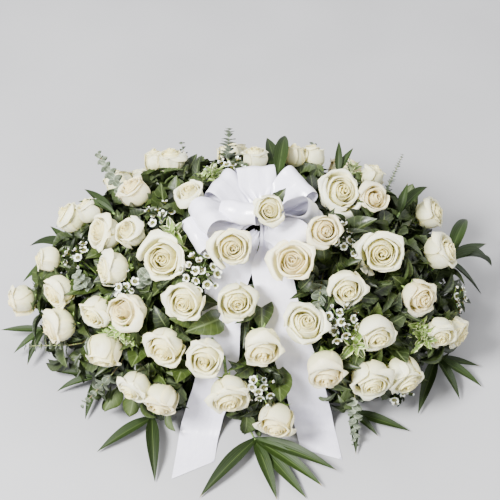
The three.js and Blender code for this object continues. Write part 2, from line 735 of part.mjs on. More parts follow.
function addFrond({ heart, tips }) {
  const node = GREENS[nearestHub(heart.x)];
  const own = piecesOf(node);
  const blockers = inTheWay(node);
  const foot = feet.get(node)(heart.x);
  const stem = routed(foot, [heart], [STEM.foot, PALM.rachis], STEM.sides, blockers)
    ?? routed(foot, [heart], [STEM.foot, PALM.rachis], STEM.sides, everythingBut(node));
  if (!stem) throw new Error("no way for the frond at " + heart.toArray().map(Math.round));
  addStem(node, stem);
  own.push(ball(heart, PALM.heart));
  for (const tip of tips) {
    const root = heart.clone().addScaledVector(tip.clone().sub(heart).normalize(), -PALM.root);
    const paths = PALM.rises.map((rise) => arch(root, tip, rise, PALM.steps));
    const path = paths.find((points) =>
      isClear(blade(points, PALM.wide, PALM_SHAPE, UP, PALM.rib, GAP), blockers));
    if (path) own.push(blade(path, PALM.wide, PALM_SHAPE, UP, PALM.rib));
  }
}

// Broad leaves, and pittosporum in whorls on thin stems of its own

const BROAD = { long: 92, wide: 42, root: 0.45, rib: 1.6, nearest: 5 };
const BROAD_RISES = [8, 16, 0, 26];
const BROAD_TURNS = [0, 30, -30, 60, -60, 90, -90];
const broad = (px, py, share, heading, lean = 70) => ({ px, py, share, heading, lean });
const BROAD_LEAVES = [
  broad(163, 200, 0.98, 100), broad(322, 186, 0.95, 80), broad(182, 368, 0.96, 250),
  broad(408, 198, 0.99, 70), broad(205, 325, 0.95, 200), broad(350, 310, 0.95, 250),
  broad(300, 392, 0.97, 270), broad(80, 288, 0.97, 200), broad(270, 310, 0.94, 270),
  broad(138, 352, 0.96, 250), broad(398, 350, 0.97, 300), broad(360, 228, 0.96, 40),
];

// Leaves round the back and the sides, which the picture doesn't show: by compass turn from +X, and height
const SKIRT = { wide: 62, share: 0.97, turns: [16, 36, 56, 74, 90, 106, 124, 144, 164] };
const SKIRT_HEIGHTS = [44, 128];
const SKIRT_LEAVES = SKIRT.turns.flatMap((turn) => SKIRT_HEIGHTS.map((height) => {
  const wide = DOME.half * Math.cos(degToRad(turn));
  const deep = DOME.back * Math.sin(degToRad(turn));
  const inward = SKIRT.share * Math.sqrt(1 - (Math.max(0, height - DOME.skirt) / DOME.rise) ** 2);
  return { tips: [vec(wide * inward, deep * inward, height)], wide: SKIRT.wide };
}));

function broadLeafTips({ px, py, share, heading, lean }) {
  return BROAD_TURNS.map((turn) =>
    onDome(px, py, share).addScaledVector(facing(lean, heading + turn), BROAD.long / 3));
}

// Leaf that grows from the nearest rose stem of its node, out through a gap between the heads
function addBroadLeaf({ tips, wide }) {
  for (const tip of tips) {
    const normal = outward(tip);
    const roots = flowers.map((flower) => {
      const [before, start] = flower.stem.points.slice(-2);
      return { flower, root: start.clone().lerp(before, BROAD.root) };
    }).sort((a, b) => a.root.distanceTo(tip) - b.root.distanceTo(tip));
    for (const { flower, root } of roots.slice(0, BROAD.nearest)) {
      const blockers = inTheWay(flower.node).filter((piece) => piece !== flower.stalk);
      const path = BROAD_RISES
        .map((rise) => arch(root, tip, rise, 3, normal))
        .find((points) => isClear(blade(points, wide, OVATE, normal, BROAD.rib, GAP), blockers));
      if (!path) continue;
      piecesOf(flower.node).push(blade(path, wide, OVATE, normal, BROAD.rib));
      return;
    }
  }
}

const WHORL = { leaves: 5, long: 38, wide: 17, lift: 0.5, stalk: 1.4, heart: 4, root: 2 };
const PITTOSPORUM_HUB = vec(8, 30, 62);
const WHORLS = [
  { px: 213, py: 172, share: 1.0 }, { px: 352, py: 168, share: 1.0 }, { px: 172, py: 232, share: 1.0 },
  { px: 425, py: 338, share: 1.0 }, { px: 120, py: 330, share: 0.98 }, { px: 356, py: 345, share: 0.98 },
];

function whorl(middle, grow = 0) {
  const axis = outward(middle);
  const side = axis.clone().cross(PICTURE_UP).normalize();
  const over = axis.clone().cross(side);
  return Array.from({ length: WHORL.leaves }, (_, k) => {
    const turn = (2 * Math.PI * k) / WHORL.leaves;
    const out = side.clone().multiplyScalar(Math.cos(turn)).addScaledVector(over, Math.sin(turn));
    const tip = middle.clone()
      .addScaledVector(out, WHORL.long)
      .addScaledVector(axis, WHORL.long * WHORL.lift * (k % 2 ? 1 : 0.4));
    const root = middle.clone().addScaledVector(out, -WHORL.root);
    return blade(arch(root, tip, 3, 2, axis), WHORL.wide, SHORT, axis, 1.6, grow);
  });
}

function addWhorl({ px, py, share }) {
  const node = "pittosporum";
  const blockers = inTheWay(node);
  const middle = onDome(px, py, share);
  const below = middle.clone().addScaledVector(outward(middle), -30);
  const stem = routed(feet.get(node)(middle.x), [below, middle], [1.2, WHORL.stalk], 3, blockers);
  if (!stem) return;
  addStem(node, stem);
  const grown = whorl(middle, GAP);
  const leaves = whorl(middle).filter((_, k) => isClear(grown[k], blockers));
  piecesOf(node).push(ball(middle, WHORL.heart));
  piecesOf(node).push(...leaves);
}

// Eucalyptus: sprigs of round leaves in crossed pairs

const SPRIG = { stalk: 1.1, leaf: 19, thick: 1.2, tip: 0.55 };
const EUCALYPTUS_HUBS = { eucalyptus_left: vec(-150, 32, 62), eucalyptus_right: vec(150, 32, 62) };
const sprig = (node, base, tip, leaves, size = 1) => ({ node, base, tip, leaves, size });
const SPRIGS = [
  sprig("eucalyptus_left", onShell(126, 198, 0.95), onShell(99, 155, 1.12), 8, 0.85),
  sprig("eucalyptus_left", onShell(228, 160, 0.9), onShell(229, 131, 1.1), 7, 0.8),
  sprig("eucalyptus_left", onShell(142, 284, 0.76), onShell(145, 274, 0.98), 5, 1.4),
  sprig("eucalyptus_left", onShell(86, 292, 0.9), onShell(78, 276, 1.02), 5, 1.2),
  sprig("eucalyptus_left", onShell(70, 345, 0.94), onShell(28, 346, 1.1), 5),
  sprig("eucalyptus_left", onShell(112, 374, 0.92), onShell(84, 404, 1.06), 6),
  sprig("eucalyptus_right", onShell(322, 280, 0.86), onShell(318, 306, 0.98), 5, 1.4),
  sprig("eucalyptus_right", onShell(344, 398, 0.94), low(338, 446, 12), 6),
  sprig("eucalyptus_right", onShell(386, 192, 0.95), onShell(402, 156, 1.12), 6, 0.6),
  sprig("eucalyptus_left", vec(-110, 258, 110), vec(-130, 346, 150), 6),
  sprig("eucalyptus_right", vec(122, 258, 110), vec(132, 348, 146), 6),
];

// A round leaf: five outline points about a thick middle
function roundLeaf(root, out, normal, size, grow = 0) {
  const across = out.clone().cross(normal).normalize();
  const middle = root.clone().addScaledVector(out, size / 2);
  const outline = Array.from({ length: 5 }, (_, k) => {
    const turn = (2 * Math.PI * k) / 5;
    return middle.clone()
      .addScaledVector(out, -(size / 2 + grow) * Math.cos(turn))
      .addScaledVector(across, (size / 2 + grow) * Math.sin(turn));
  });
  const half = SPRIG.thick / 2 + grow;
  const [below, above] = [-half, half].map((rise) => middle.clone().addScaledVector(normal, rise));
  return solidOf(skin([[below], outline, [above]]));
}

function sprigLeaves({ base, tip, leaves, size }, grow = 0) {
  const along = tip.clone().sub(base).normalize();
  const side = along.clone().cross(outward(base)).normalize();
  const over = along.clone().cross(side);
  return Array.from({ length: leaves }, (_, k) => {
    const share = (k + 0.5) / leaves;
    const turn = (k * Math.PI) / 2 + (k % 4 > 1 ? 0.7 : 0);
    const lean = side.clone().multiplyScalar(Math.cos(turn)).addScaledVector(over, Math.sin(turn));
    const out = lean.addScaledVector(along, 0.5).normalize();
    const normal = along.clone().addScaledVector(out, -along.dot(out)).normalize();
    const wide = SPRIG.leaf * size * lerp(1, SPRIG.tip, share);
    return roundLeaf(base.clone().lerp(tip, share), out, normal, wide, grow);
  });
}

function addSprig(plan) {
  const { node, base, tip } = plan;
  const blockers = inTheWay(node);
  const stem = routed(feet.get(node)(base.x), [base, tip], [1.2, SPRIG.stalk], 3, blockers);
  if (!stem) return;
  addStem(node, stem);
  const grown = sprigLeaves(plan, GAP);
  const leaves = sprigLeaves(plan).filter((_, k) => isClear(grown[k], blockers));
  piecesOf(node).push(...leaves);
}

// Wax flowers: five-pointed florets with a hollow cup, on pedicels that fork from one stem

const WAX = { floret: 8.5, cup: 2, deep: 5, neck: 2, pedicel: 0.9, fork: 34, spacing: 13 };
const WAX_HUBS = {
  wax_flowers_left: vec(-150, -30, 60),
  wax_flowers_middle: vec(0, -30, 60),
  wax_flowers_right: vec(150, -30, 60),
};
const wax = (node, px, py, share, florets) => ({ node, px, py, share, florets });
const WAX_SPRAYS = [
  wax("wax_flowers_left", 201, 270, 1.03, 6),
  wax("wax_flowers_left", 158, 213, 1.0, 3),
  wax("wax_flowers_left", 74, 255, 0.98, 3),
  wax("wax_flowers_left", 124, 286, 0.98, 3),
  wax("wax_flowers_middle", 232, 166, 1.0, 3),
  wax("wax_flowers_middle", 258, 390, 0.98, 4),
  wax("wax_flowers_right", 350, 240, 0.98, 4),
  wax("wax_flowers_right", 341, 322, 1.0, 6),
  wax("wax_flowers_right", 404, 394, 0.98, 3),
  wax("wax_flowers_right", 462, 300, 0.98, 3),
];
const GOLDEN_TURN = Math.PI * (3 - Math.sqrt(5));

// A pedicel that opens into a floret: five petal corners round a hollow cup
function floret(root, middle, axis, grow = 0) {
  const side = axis.clone().cross(Math.abs(axis.x) < 0.9 ? PICTURE_RIGHT : UP).normalize();
  const over = axis.clone().cross(side);
  const ring = (centre, radius, height, count = 3) => Array.from({ length: count }, (_, k) => {
    const turn = (2 * Math.PI * k) / count;
    return centre.clone()
      .addScaledVector(side, (radius + grow) * Math.cos(turn))
      .addScaledVector(over, (radius + grow) * Math.sin(turn))
      .addScaledVector(axis, height);
  });
  const thin = ring(root, WAX.pedicel, 0);
  const neck = ring(middle, WAX.neck, -WAX.deep - grow);
  const petals = ring(middle, WAX.floret, 0, 5);
  return solidOf(skin([thin, neck, petals, [middle.clone().addScaledVector(axis, grow - WAX.cup)]]));
}

function waxFlorets({ px, py, share, florets }) {
  const middle = onDome(px, py, share);
  const axis = outward(middle);
  const side = axis.clone().cross(PICTURE_UP).normalize();
  const over = axis.clone().cross(side);
  return Array.from({ length: florets }, (_, k) => {
    const radius = WAX.spacing * Math.sqrt(k);
    const turn = k * GOLDEN_TURN;
    const place = middle.clone()
      .addScaledVector(side, radius * Math.cos(turn))
      .addScaledVector(over, radius * Math.sin(turn))
      .addScaledVector(axis, k % 2 ? 5 : -5);
    const out = place.clone().sub(middle).addScaledVector(axis, 45).normalize();
    return { place, out };
  });
}

function addWaxSpray(plan) {
  const { node } = plan;
  const blockers = inTheWay(node);
  const middle = onDome(plan.px, plan.py, plan.share);
  const inward = outward(middle).multiplyScalar(-1);
  const ends = [middle.clone().addScaledVector(inward, WAX.fork), middle.clone().addScaledVector(inward, 6)];
  const stem = routed(feet.get(node)(middle.x), ends, [1.2, 1.2], 3, blockers);
  if (!stem) return;
  addStem(node, stem);
  waxFlorets(plan).forEach(({ place, out }, k) => {
    const root = middle.clone().addScaledVector(inward, 8 + ((WAX.fork - 8) * k) / plan.florets);
    if (isClear(floret(root, place, out, GAP), blockers)) piecesOf(node).push(floret(root, place, out));
  });
}

// Saddle tray, foam and the bow's pick

function roundedOutline(long, deep, radius) {
  const [x, y] = [long / 2 - radius, deep / 2 - radius];
  const shape = new THREE.Shape();
  shape.absarc(x, y, radius, 0, Math.PI / 2);
  shape.absarc(-x, y, radius, Math.PI / 2, Math.PI);
  shape.absarc(-x, -y, radius, Math.PI, 1.5 * Math.PI);
  shape.absarc(x, -y, radius, 1.5 * Math.PI, 2 * Math.PI);
  shape.closePath();
  return shape;
}

function slab(long, deep, radius, bottom, top, curveSegments = 3) {
  const outline = roundedOutline(long, deep, radius);
  const geometry = new THREE.ExtrudeGeometry(outline, {
    depth: top - bottom, bevelEnabled: false, curveSegments,
  });
  geometry.translate(0, 0, bottom);
  return solidOf(weld(geometry));
}

function trayBody() {
  const { long, deep, high, wall, corner } = TRAY;
  const inside = slab(long - 2 * wall, deep - 2 * wall, corner - wall, wall, high + 1);
  return slab(long, deep, corner, 0, high).subtract(inside);
}

function foamBlock() {
  const bottom = TRAY.wall + GAP;
  return slab(FOAM.long, FOAM.deep, FOAM.corner, bottom, bottom + FOAM.high, 1);
}

const PICK = {
  radius: 1.5,
  sides: 6,
  foot: vec(22, 8, 44),
  top: KNOT.clone().add(vec(0, 4, -BOW_KNOT_RADIUS - GAP)),
};

// Materials and the finished group

const paint = (color, roughness, metalness = 0) =>
  new THREE.MeshStandardMaterial({ color, roughness, metalness, flatShading: true });
const MATERIALS = {
  rose: paint(0xf4efdf, 0.6),
  greens: paint(0x2f4a22, 0.5),
  pittosporum: paint(0x8ea860, 0.5),
  eucalyptus: paint(0x66775a, 0.65),
  wax_flowers: paint(0xeef0da, 0.5),
  satin: paint(0xe9e8f0, 0.3),
  foam: paint(0x3f6b3c, 0.95),
  tray: paint(0x2b3d2b, 0.45),
  pick: paint(0x5f7a3c, 0.7),
};

const group = new THREE.Group();

function place(name, solid, material) {
  const { numProp, vertProperties, triVerts } = solid.getMesh();
  const positions = new Float32Array((vertProperties.length / numProp) * 3);
  for (let k = 0; k < positions.length / 3; k++) {
    positions.set(vertProperties.subarray(k * numProp, k * numProp + 3), 3 * k);
  }
  const geometry = new THREE.BufferGeometry()
    .setAttribute("position", new THREE.BufferAttribute(positions, 3))
    .setIndex(new THREE.BufferAttribute(new Uint32Array(triVerts), 1));
  geometry.computeVertexNormals();
  const mesh = new THREE.Mesh(geometry, material);
  mesh.name = name;
  group.add(mesh);
  return mesh;
}

const loops = bow();
const loopSpace = bow(GAP);
const pick = tube([PICK.foot, PICK.top], PICK.radius, PICK.sides);
spray.set("saddle_tray", [trayBody()]);
spray.set("bow_loops", [loops]);
spray.set("bow_pick", [largest(pick.subtract(loopSpace))]);
for (const name of Object.keys(TAILS)) {
  spray.set(name, [largest(ribbonTail(name).subtract(loopSpace))]);
}
piercing.push(tube([PICK.foot, PICK.top], PICK.radius, PICK.sides, FOAM_HOLE));

const heads = growHeads(everythingBut("saddle_tray"));
heads.forEach(({ solid }, k) => spray.set("rose_" + String(k + 1).padStart(2, "0"), [solid]));
const allRoses = heads.flatMap(({ roses }) => roses);
GREENS.forEach((node, k) => {
  const reached = [...allRoses.map((one) => one.base.x), ...FRONDS.map(({ heart }) => heart.x)];
  bind(node, hubs[k], reached.filter((x) => nearestHub(x) === k));
});
for (const [node, middle] of Object.entries(EUCALYPTUS_HUBS)) {
  bind(node, middle, SPRIGS.filter((plan) => plan.node === node).map(({ base }) => base.x));
}
for (const [node, middle] of Object.entries(WAX_HUBS)) {
  const own = WAX_SPRAYS.filter((plan) => plan.node === node);
  bind(node, middle, own.map(({ px, py, share }) => onDome(px, py, share).x));
}
bind("pittosporum", PITTOSPORUM_HUB, WHORLS.map(({ px, py, share }) => onDome(px, py, share).x));

const flowers = allRoses.map(addRoseStem).filter(Boolean);
for (const { stem, slide, reach, ...flower } of flowers.filter((one) => one.inBow)) {
  spray.set("bow_loops", [largest(loops.subtract(roseStalk(stem, flower, reach, GAP)))]);
}
FRONDS.forEach(addFrond);
WAX_SPRAYS.forEach(addWaxSpray);
SPRIGS.forEach(addSprig);
WHORLS.forEach(addWhorl);
BROAD_LEAVES.forEach((plan) => addBroadLeaf({ tips: broadLeafTips(plan), wide: BROAD.wide }));
SKIRT_LEAVES.forEach(addBroadLeaf);
flowers.filter((_, k) => k % 2).forEach(addRoseLeaf);

spray.set("foam_brick", [largest(foamBlock().subtract(join(piercing)))]);

const finish = (name) => MATERIALS[name.replace(/_.*/, "")] ?? MATERIALS.satin;
for (const [name, pieces] of spray) {
  const material = name.startsWith("wax") ? MATERIALS.wax_flowers : finish(name);
  place(name, largest(join(pieces).asOriginal().simplify(FUSED_WITHIN)), material);
}

export default group;
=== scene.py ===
"""Casket spray: white roses, palm, eucalyptus and wax flowers round a satin bow, in foam on a saddle tray.

Every measure is in millimetres in the lists below and in metres in the scene. +Z is up, +X runs along the
casket, and -Y faces the viewer. The flowers are placed along the same lines of sight as the solids.
"""
import math
import random

import bmesh
import bpy
import numpy as np
from mathutils import Euler, Matrix, Quaternion, Vector


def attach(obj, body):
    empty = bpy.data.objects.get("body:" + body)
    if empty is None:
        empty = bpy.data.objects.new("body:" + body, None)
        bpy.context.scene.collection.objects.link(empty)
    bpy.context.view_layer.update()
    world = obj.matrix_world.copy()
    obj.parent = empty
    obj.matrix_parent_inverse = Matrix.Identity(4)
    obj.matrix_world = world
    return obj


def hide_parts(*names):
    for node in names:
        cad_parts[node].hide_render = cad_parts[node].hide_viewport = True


bl_info = {
    "name": "Casket Spray",
    "version": (1, 0, 0),
    "blender": (4, 5, 0),
    "location": "View3D > Sidebar > Spray",
    "description": "Dresses a casket spray: roses, greenery, wax flowers, satin bow and stage",
    "category": "Object",
}

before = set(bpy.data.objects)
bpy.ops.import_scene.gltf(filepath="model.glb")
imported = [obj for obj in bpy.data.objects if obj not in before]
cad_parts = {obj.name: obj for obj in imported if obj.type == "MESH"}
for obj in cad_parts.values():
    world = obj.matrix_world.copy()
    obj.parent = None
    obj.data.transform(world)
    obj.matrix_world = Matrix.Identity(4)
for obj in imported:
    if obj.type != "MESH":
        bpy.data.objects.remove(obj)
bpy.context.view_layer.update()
MM = 0.001
LOWEST = 0.6 * MM  # nothing goes below this height over the surface
CRISP_ANGLE = 1.2  # edges that turn more than this, in radians, stay crisp

# Lines of sight, and the dome that the rose heads lie on

PICTURE = {"px": 247, "py": 250, "mm": 1.89, "elevation": 50, "distance": 2600}
AIM = Vector((0, 87, 133))
TILT = math.radians(PICTURE["elevation"])
TO_VIEWER = Vector((0, -math.cos(TILT), math.sin(TILT)))
RIGHT = Vector((1, 0, 0))
PICTURE_UP = Vector((0, math.sin(TILT), math.cos(TILT)))
EYE = AIM + TO_VIEWER * PICTURE["distance"]
UP = Vector((0, 0, 1))
DOME = {"half": 430, "front": 271, "back": 320, "rise": 275, "skirt": 60}
SEARCH = range(-800, 900, 4)  # where a line of sight is followed, in mm short of the aim and past it
GOLDEN_TURN = math.pi * (3 - math.sqrt(5))


def sight_line(px, py):
    """The direction from the eye through a place in the picture."""
    across = RIGHT * ((px - PICTURE["px"]) * PICTURE["mm"])
    upward = PICTURE_UP * ((PICTURE["py"] - py) * PICTURE["mm"])
    return (AIM + across + upward - EYE).normalized()


def low(px, py, height):
    """The point of a line of sight at a height above the surface."""
    line = sight_line(px, py)
    return EYE + line * ((height - EYE.z) / line.z)


def level(p):
    """How far out a point lies: 1 is on the dome."""
    reach = DOME["front"] if p.y < 0 else DOME["back"]
    height = max(0, p.z - DOME["skirt"]) / DOME["rise"]
    return math.hypot(p.x / DOME["half"], p.y / reach, height)


def outward(p):
    """The way that the dome faces at a point."""
    reach = DOME["front"] if p.y < 0 else DOME["back"]
    height = max(0, p.z - DOME["skirt"]) / DOME["rise"] ** 2
    return Vector((p.x / DOME["half"] ** 2, p.y / reach ** 2, height)).normalized()


def on_shell(px, py, share=1.0):
    """First point of a line of sight on the dome grown by share, or else its nearest approach."""
    line = sight_line(px, py)
    nearest, least = None, math.inf
    for far in SEARCH:
        p = EYE + line * (PICTURE["distance"] + far)
        if p.z < 2:
            break
        if level(p) < least:
            nearest, least = p, level(p)
        if least <= share:
            break
    return nearest


def facing(lean, heading):
    """A direction that leans off the line of sight, towards a heading in the picture."""
    side = RIGHT * math.cos(math.radians(heading)) + PICTURE_UP * math.sin(math.radians(heading))
    return TO_VIEWER * math.cos(math.radians(lean)) + side * math.sin(math.radians(lean))


# What grows where: the same lists as the solids, and what is added between them

HUB_X = (-185, -115, -40, 40, 115, 185)
HUB_SPREAD, HUB_Z = 0.45, 48
SIDE_X = {"left": -150, "middle": 0, "right": 150}
ROSES = [f"rose_{k:02d}" for k in range(1, 43)]
GREENS = [f"greens_{k}" for k in range(1, 7)]
SEAT, THROAT = 0.24, 0.68  # of a rose head's solid: its seat's radius and its middle's height, as shares
LEAST_ROSES = 50
BACK_FRONDS = 250  # fronds further back than this have blades between their blades
WHORL_FOOT = Vector((8, 30, 62))
OPEN_FLORETS = 0.66  # their share; the rest are buds
HALF_RIBBON, GATHERED = 35, 12  # half a flat ribbon's width, and the width of a loop at the knot
PETAL_WAVES = 55  # waves to a metre of a petal's edge
MOST_LEAVES, LEAST_HEIGHT = 9000, 0.006  # of the fillings: leaves to a square metre, height in metres

FRONDS = [
    (low(152, 418, 16), [low(97, 452, 6), low(155, 482, 4)]),
    (low(255, 440, 14), [low(200, 497, 4), low(277, 500, 4), low(306, 498, 6), low(322, 486, 12),
                         low(336, 470, 24)]),
    (low(352, 412, 16), [low(379, 437, 8), low(410, 431, 8), low(356, 455, 5)]),
    (low(436, 358, 30), [low(480, 366, 14), low(482, 387, 8), low(460, 400, 8), low(418, 414, 8)]),
    (low(98, 378, 26), [low(56, 392, 10), low(56, 372, 24), low(85, 420, 8)]),
    (low(44, 330, 42), [low(0, 330, 36), low(13, 354, 24), low(27, 366, 18)]),
    (on_shell(76, 250, 0.8), [low(23, 282, 60), low(30, 246, 84), low(50, 226, 120)]),
    (on_shell(112, 212, 0.97), [on_shell(77, 202, 1.06), on_shell(84, 189, 1.08)]),
    (on_shell(278, 178, 0.92), [on_shell(285, 136, 1.1), on_shell(267, 138, 1.06)]),
    (on_shell(338, 172, 0.96), [on_shell(354, 147, 1.06), on_shell(339, 140, 1.05)]),
    (on_shell(400, 212, 0.95), [on_shell(428, 187, 1.06), on_shell(408, 182, 1.1)]),
    (on_shell(448, 262, 0.96), [low(466, 220, 120), low(486, 244, 84), low(491, 266, 60),
                                low(481, 294, 46)]),
    (Vector((-190, 262, 66)), [Vector((-270, 350, 24)), Vector((-215, 372, 14)), Vector((-150, 376, 22))]),
    (Vector((-10, 292, 70)), [Vector((-70, 392, 20)), Vector((0, 406, 12)), Vector((66, 390, 22))]),
    (Vector((180, 264, 66)), [Vector((140, 374, 20)), Vector((214, 370, 12)), Vector((276, 342, 26))]),
]
BROAD_LEAVES = [  # px, py, share, heading
    (163, 200, 0.98, 100), (322, 186, 0.95, 80), (182, 368, 0.96, 250), (408, 198, 0.99, 70),
    (205, 325, 0.95, 200), (350, 310, 0.95, 250), (280, 386, 0.95, 270), (80, 288, 0.97, 200),
    (262, 312, 0.9, 270), (138, 352, 0.96, 250), (398, 350, 0.97, 300), (360, 228, 0.96, 40),
]
SKIRT_LEAVES = {"long": (74, 120), "wide": 58, "share": 0.97, "heights": (44, 128),
                "turns": (16, 36, 56, 74, 90, 106, 124, 144, 164)}
FILLINGS = [  # name, length, share of it for the width, shares of the dome, spacing, rise, share of clearance
    ("Broad leaf filling", "broad_leaf", 0.48, (0.5, 0.62, 0.74, 0.83), 30, 0.55, 0.8),
    ("Rose leaf filling", "rose_leaf", 0.6, (0.72, 0.81, 0.89), 27, 0.5, 0.85),
    ("Slim leaf filling", "slim_leaf", 0.27, (0.68, 0.79, 0.88), 30, 0.65, 0.7),
]
WHORLS = [(213, 172, 1.0), (352, 168, 1.0), (172, 232, 1.0), (425, 338, 1.0), (120, 330, 0.98),
          (356, 345, 0.98)]
SPRIGS = [  # node, base, tip, leaves, size
    ("eucalyptus_left", on_shell(126, 198, 0.95), on_shell(99, 155, 1.12), 8, 1),
    ("eucalyptus_left", on_shell(228, 160, 0.9), on_shell(229, 131, 1.1), 7, 1.25),
    ("eucalyptus_left", on_shell(142, 284, 0.76), on_shell(145, 274, 0.98), 5, 1.4),
    ("eucalyptus_left", on_shell(86, 292, 0.9), on_shell(78, 276, 1.02), 5, 1.2),
    ("eucalyptus_left", on_shell(70, 345, 0.94), on_shell(28, 346, 1.1), 5, 1),
    ("eucalyptus_left", on_shell(112, 374, 0.92), on_shell(84, 404, 1.06), 6, 1),
    ("eucalyptus_right", on_shell(322, 280, 0.86), on_shell(318, 306, 0.98), 5, 1.4),
    ("eucalyptus_right", on_shell(355, 396, 0.94), low(355, 442, 14), 6, 1),
    ("eucalyptus_right", on_shell(386, 192, 0.95), on_shell(402, 156, 1.12), 6, 0.6),
    ("eucalyptus_left", Vector((-110, 258, 110)), Vector((-130, 346, 150)), 6, 1),
    ("eucalyptus_right", Vector((122, 258, 110)), Vector((132, 348, 146)), 6, 1),
]
WAX_SPRAYS = [  # node, px, py, share, florets
    ("wax_flowers_left", 201, 270, 1.03, 6), ("wax_flowers_left", 158, 213, 1.0, 3),
    ("wax_flowers_left", 74, 255, 0.98, 3), ("wax_flowers_left", 124, 286, 0.98, 3),
    ("wax_flowers_middle", 232, 166, 1.0, 3), ("wax_flowers_middle", 258, 390, 0.98, 4),
    ("wax_flowers_right", 350, 240, 0.98, 4), ("wax_flowers_right", 341, 322, 1.0, 6),
    ("wax_flowers_right", 404, 394, 0.98, 3), ("wax_flowers_right", 462, 300, 0.98, 3),
]
KNOT = on_shell(262, 217, 0.84)
KNOT_RINGS = [(0.001, -11), (6, -10), (10, -6), (11.5, 0), (10, 6), (6, 10), (0.001, 11)]
LOOPS = [  # tip, how high the loop stands, its turn
    (on_shell(254, 170, 1.02), 46, 0), (on_shell(303, 182, 1.04), 50, 10),
    (on_shell(314, 212, 1.0), 52, -62), (on_shell(296, 244, 1.02), 44, 15),
    (on_shell(200, 218, 1.06), 56, 5), (on_shell(193, 238, 0.98), 40, -10),
    (on_shell(216, 184, 1.0), 44, -5), (on_shell(238, 212, 1.1), 50, 20),
]
TAILS = {  # px, py, depth in the dome, width; the last two lie at a height; then how far the end slants
    "ribbon_tail_left": (
        [(257, 231, 0.8, 16), (250, 241, 0.79, 34), (236, 262, 0.76, 70), (225, 290, 0.8, 70),
         (221, 325, 0.8, 70), (219, 357, 0.74, 70), (213, 388, 0.78, 70), (204, 415, 0.84, 70)],
        [(199, 436, 4), (193, 470, 2)], 45),
    "ribbon_tail_right": (
        [(264, 222, 0.84, 14), (269, 245, 0.83, 34), (271, 268, 0.84, 70), (276, 295, 0.84, 70),
         (283, 325, 0.82, 70), (294, 356, 0.8, 70), (304, 386, 0.8, 70), (311, 412, 0.84, 70)],
        [(316, 432, 4), (321, 454, 2)], -35),
}

# The stage

FLOOR = 6  # half its width in metres
LENS = (99.05, 36, 0.006)  # of the camera: focal length, film width and shift to the side
LIGHTS = (  # name, place and width in metres, power in watts
    ("Key light", (-1.3, -1.2, 2.4), 0.8, 320),
    ("Fill light", (1.9, -1.6, 1.7), 1.8, 26),
    ("Top light", (0.2, 0.9, 2.4), 1.6, 34),
)


def linear(code):
    """An sRGB hex colour as linear red, green, blue and alpha."""
    parts = [int(code[k:k + 2], 16) / 255 for k in (1, 3, 5)]
    return tuple(c / 12.92 if c <= 0.04045 else ((c + 0.055) / 1.055) ** 2.4 for c in parts) + (1.0,)


def colour(name, description, code):
    """A colour setting."""
    return bpy.props.FloatVectorProperty(
        name=name, description=description, subtype="COLOR", size=4, min=0, max=1, default=linear(code))


def distance(name, description, default):
    """A length setting. default: in mm."""
    return bpy.props.FloatProperty(
        name=name, description=description, default=default * MM, min=0, unit="LENGTH", subtype="DISTANCE")


class SprayColours(bpy.types.PropertyGroup):
    petal: colour("Petal", "Open rose petals, warm white", "#fffbd0")
    petal_heart: colour("Petal heart", "Rolled petals in a rose's middle", "#fff3a2")
    petal_base: colour("Petal base", "Foot of the outer petals, next to the sepals", "#ece69a")
    sepal: colour("Sepal", "Sepals and necks of the roses", "#8aa354")
    leaf: colour("Leaf", "Broad leaves and rose leaves", "#36441a")
    leaf_dark: colour("Leaf, dark", "Shaded and older leaves", "#161f0c")
    palm: colour("Palm", "Palm blades", "#253511")
    variegated: colour("Variegated leaf", "Middle of a pittosporum leaf", "#708f33")
    cream: colour("Cream edge", "Edge of a pittosporum leaf", "#dfe5ac")
    silver: colour("Silver leaf", "Eucalyptus leaves", "#5c6651")
    wax_petal: colour("Wax petal", "Petals of the wax flowers", "#f4f4ea")
    wax_cup: colour("Wax cup", "Middle of the wax flowers", "#5f602a")
    satin: colour("Satin", "Satin ribbon", "#e6e4f1")
    foam: colour("Foam", "Floral foam", "#2f5c33")
    tray: colour("Tray", "Saddle tray", "#20301f")


class SpraySizes(bpy.types.PropertyGroup):
    petal_ruffle: distance("Petal ruffle", "How far a petal's edge waves", 1.6)
    broad_leaf: distance("Broad leaf", "Length of a broad leaf", 64)
    rose_leaf: distance("Rose leaf", "Length of a rose leaflet", 44)
    slim_leaf: distance("Slim leaf", "Length of a slim leaf", 52)
    leaf_clearance: distance("Leaf clearance", "How far leaves keep from the middles of blooms", 17)
    palm_width: distance("Palm blade width", "Width of a palm blade", 24)
    floret: distance("Wax floret", "Width of a wax flower", 17)
    ribbon: distance("Ribbon width", "Width of the satin ribbon", 70)
    ribbon_thickness: distance("Ribbon thickness", "Thickness of the satin ribbon", 0.5)


# Nodes and meshes

MATH, MIX, RANGE, NOISE = "ShaderNodeMath", "ShaderNodeMix", "ShaderNodeMapRange", "ShaderNodeTexNoise"
VECTOR, STORED = "ShaderNodeVectorMath", "GeometryNodeInputNamedAttribute"
TO_ROTATION, ROTATE = "FunctionNodeEulerToRotation", "FunctionNodeRotateRotation"
RANDOM, SMOOTH = "FunctionNodeRandomValue", {"interpolation_type": "SMOOTHSTEP"}


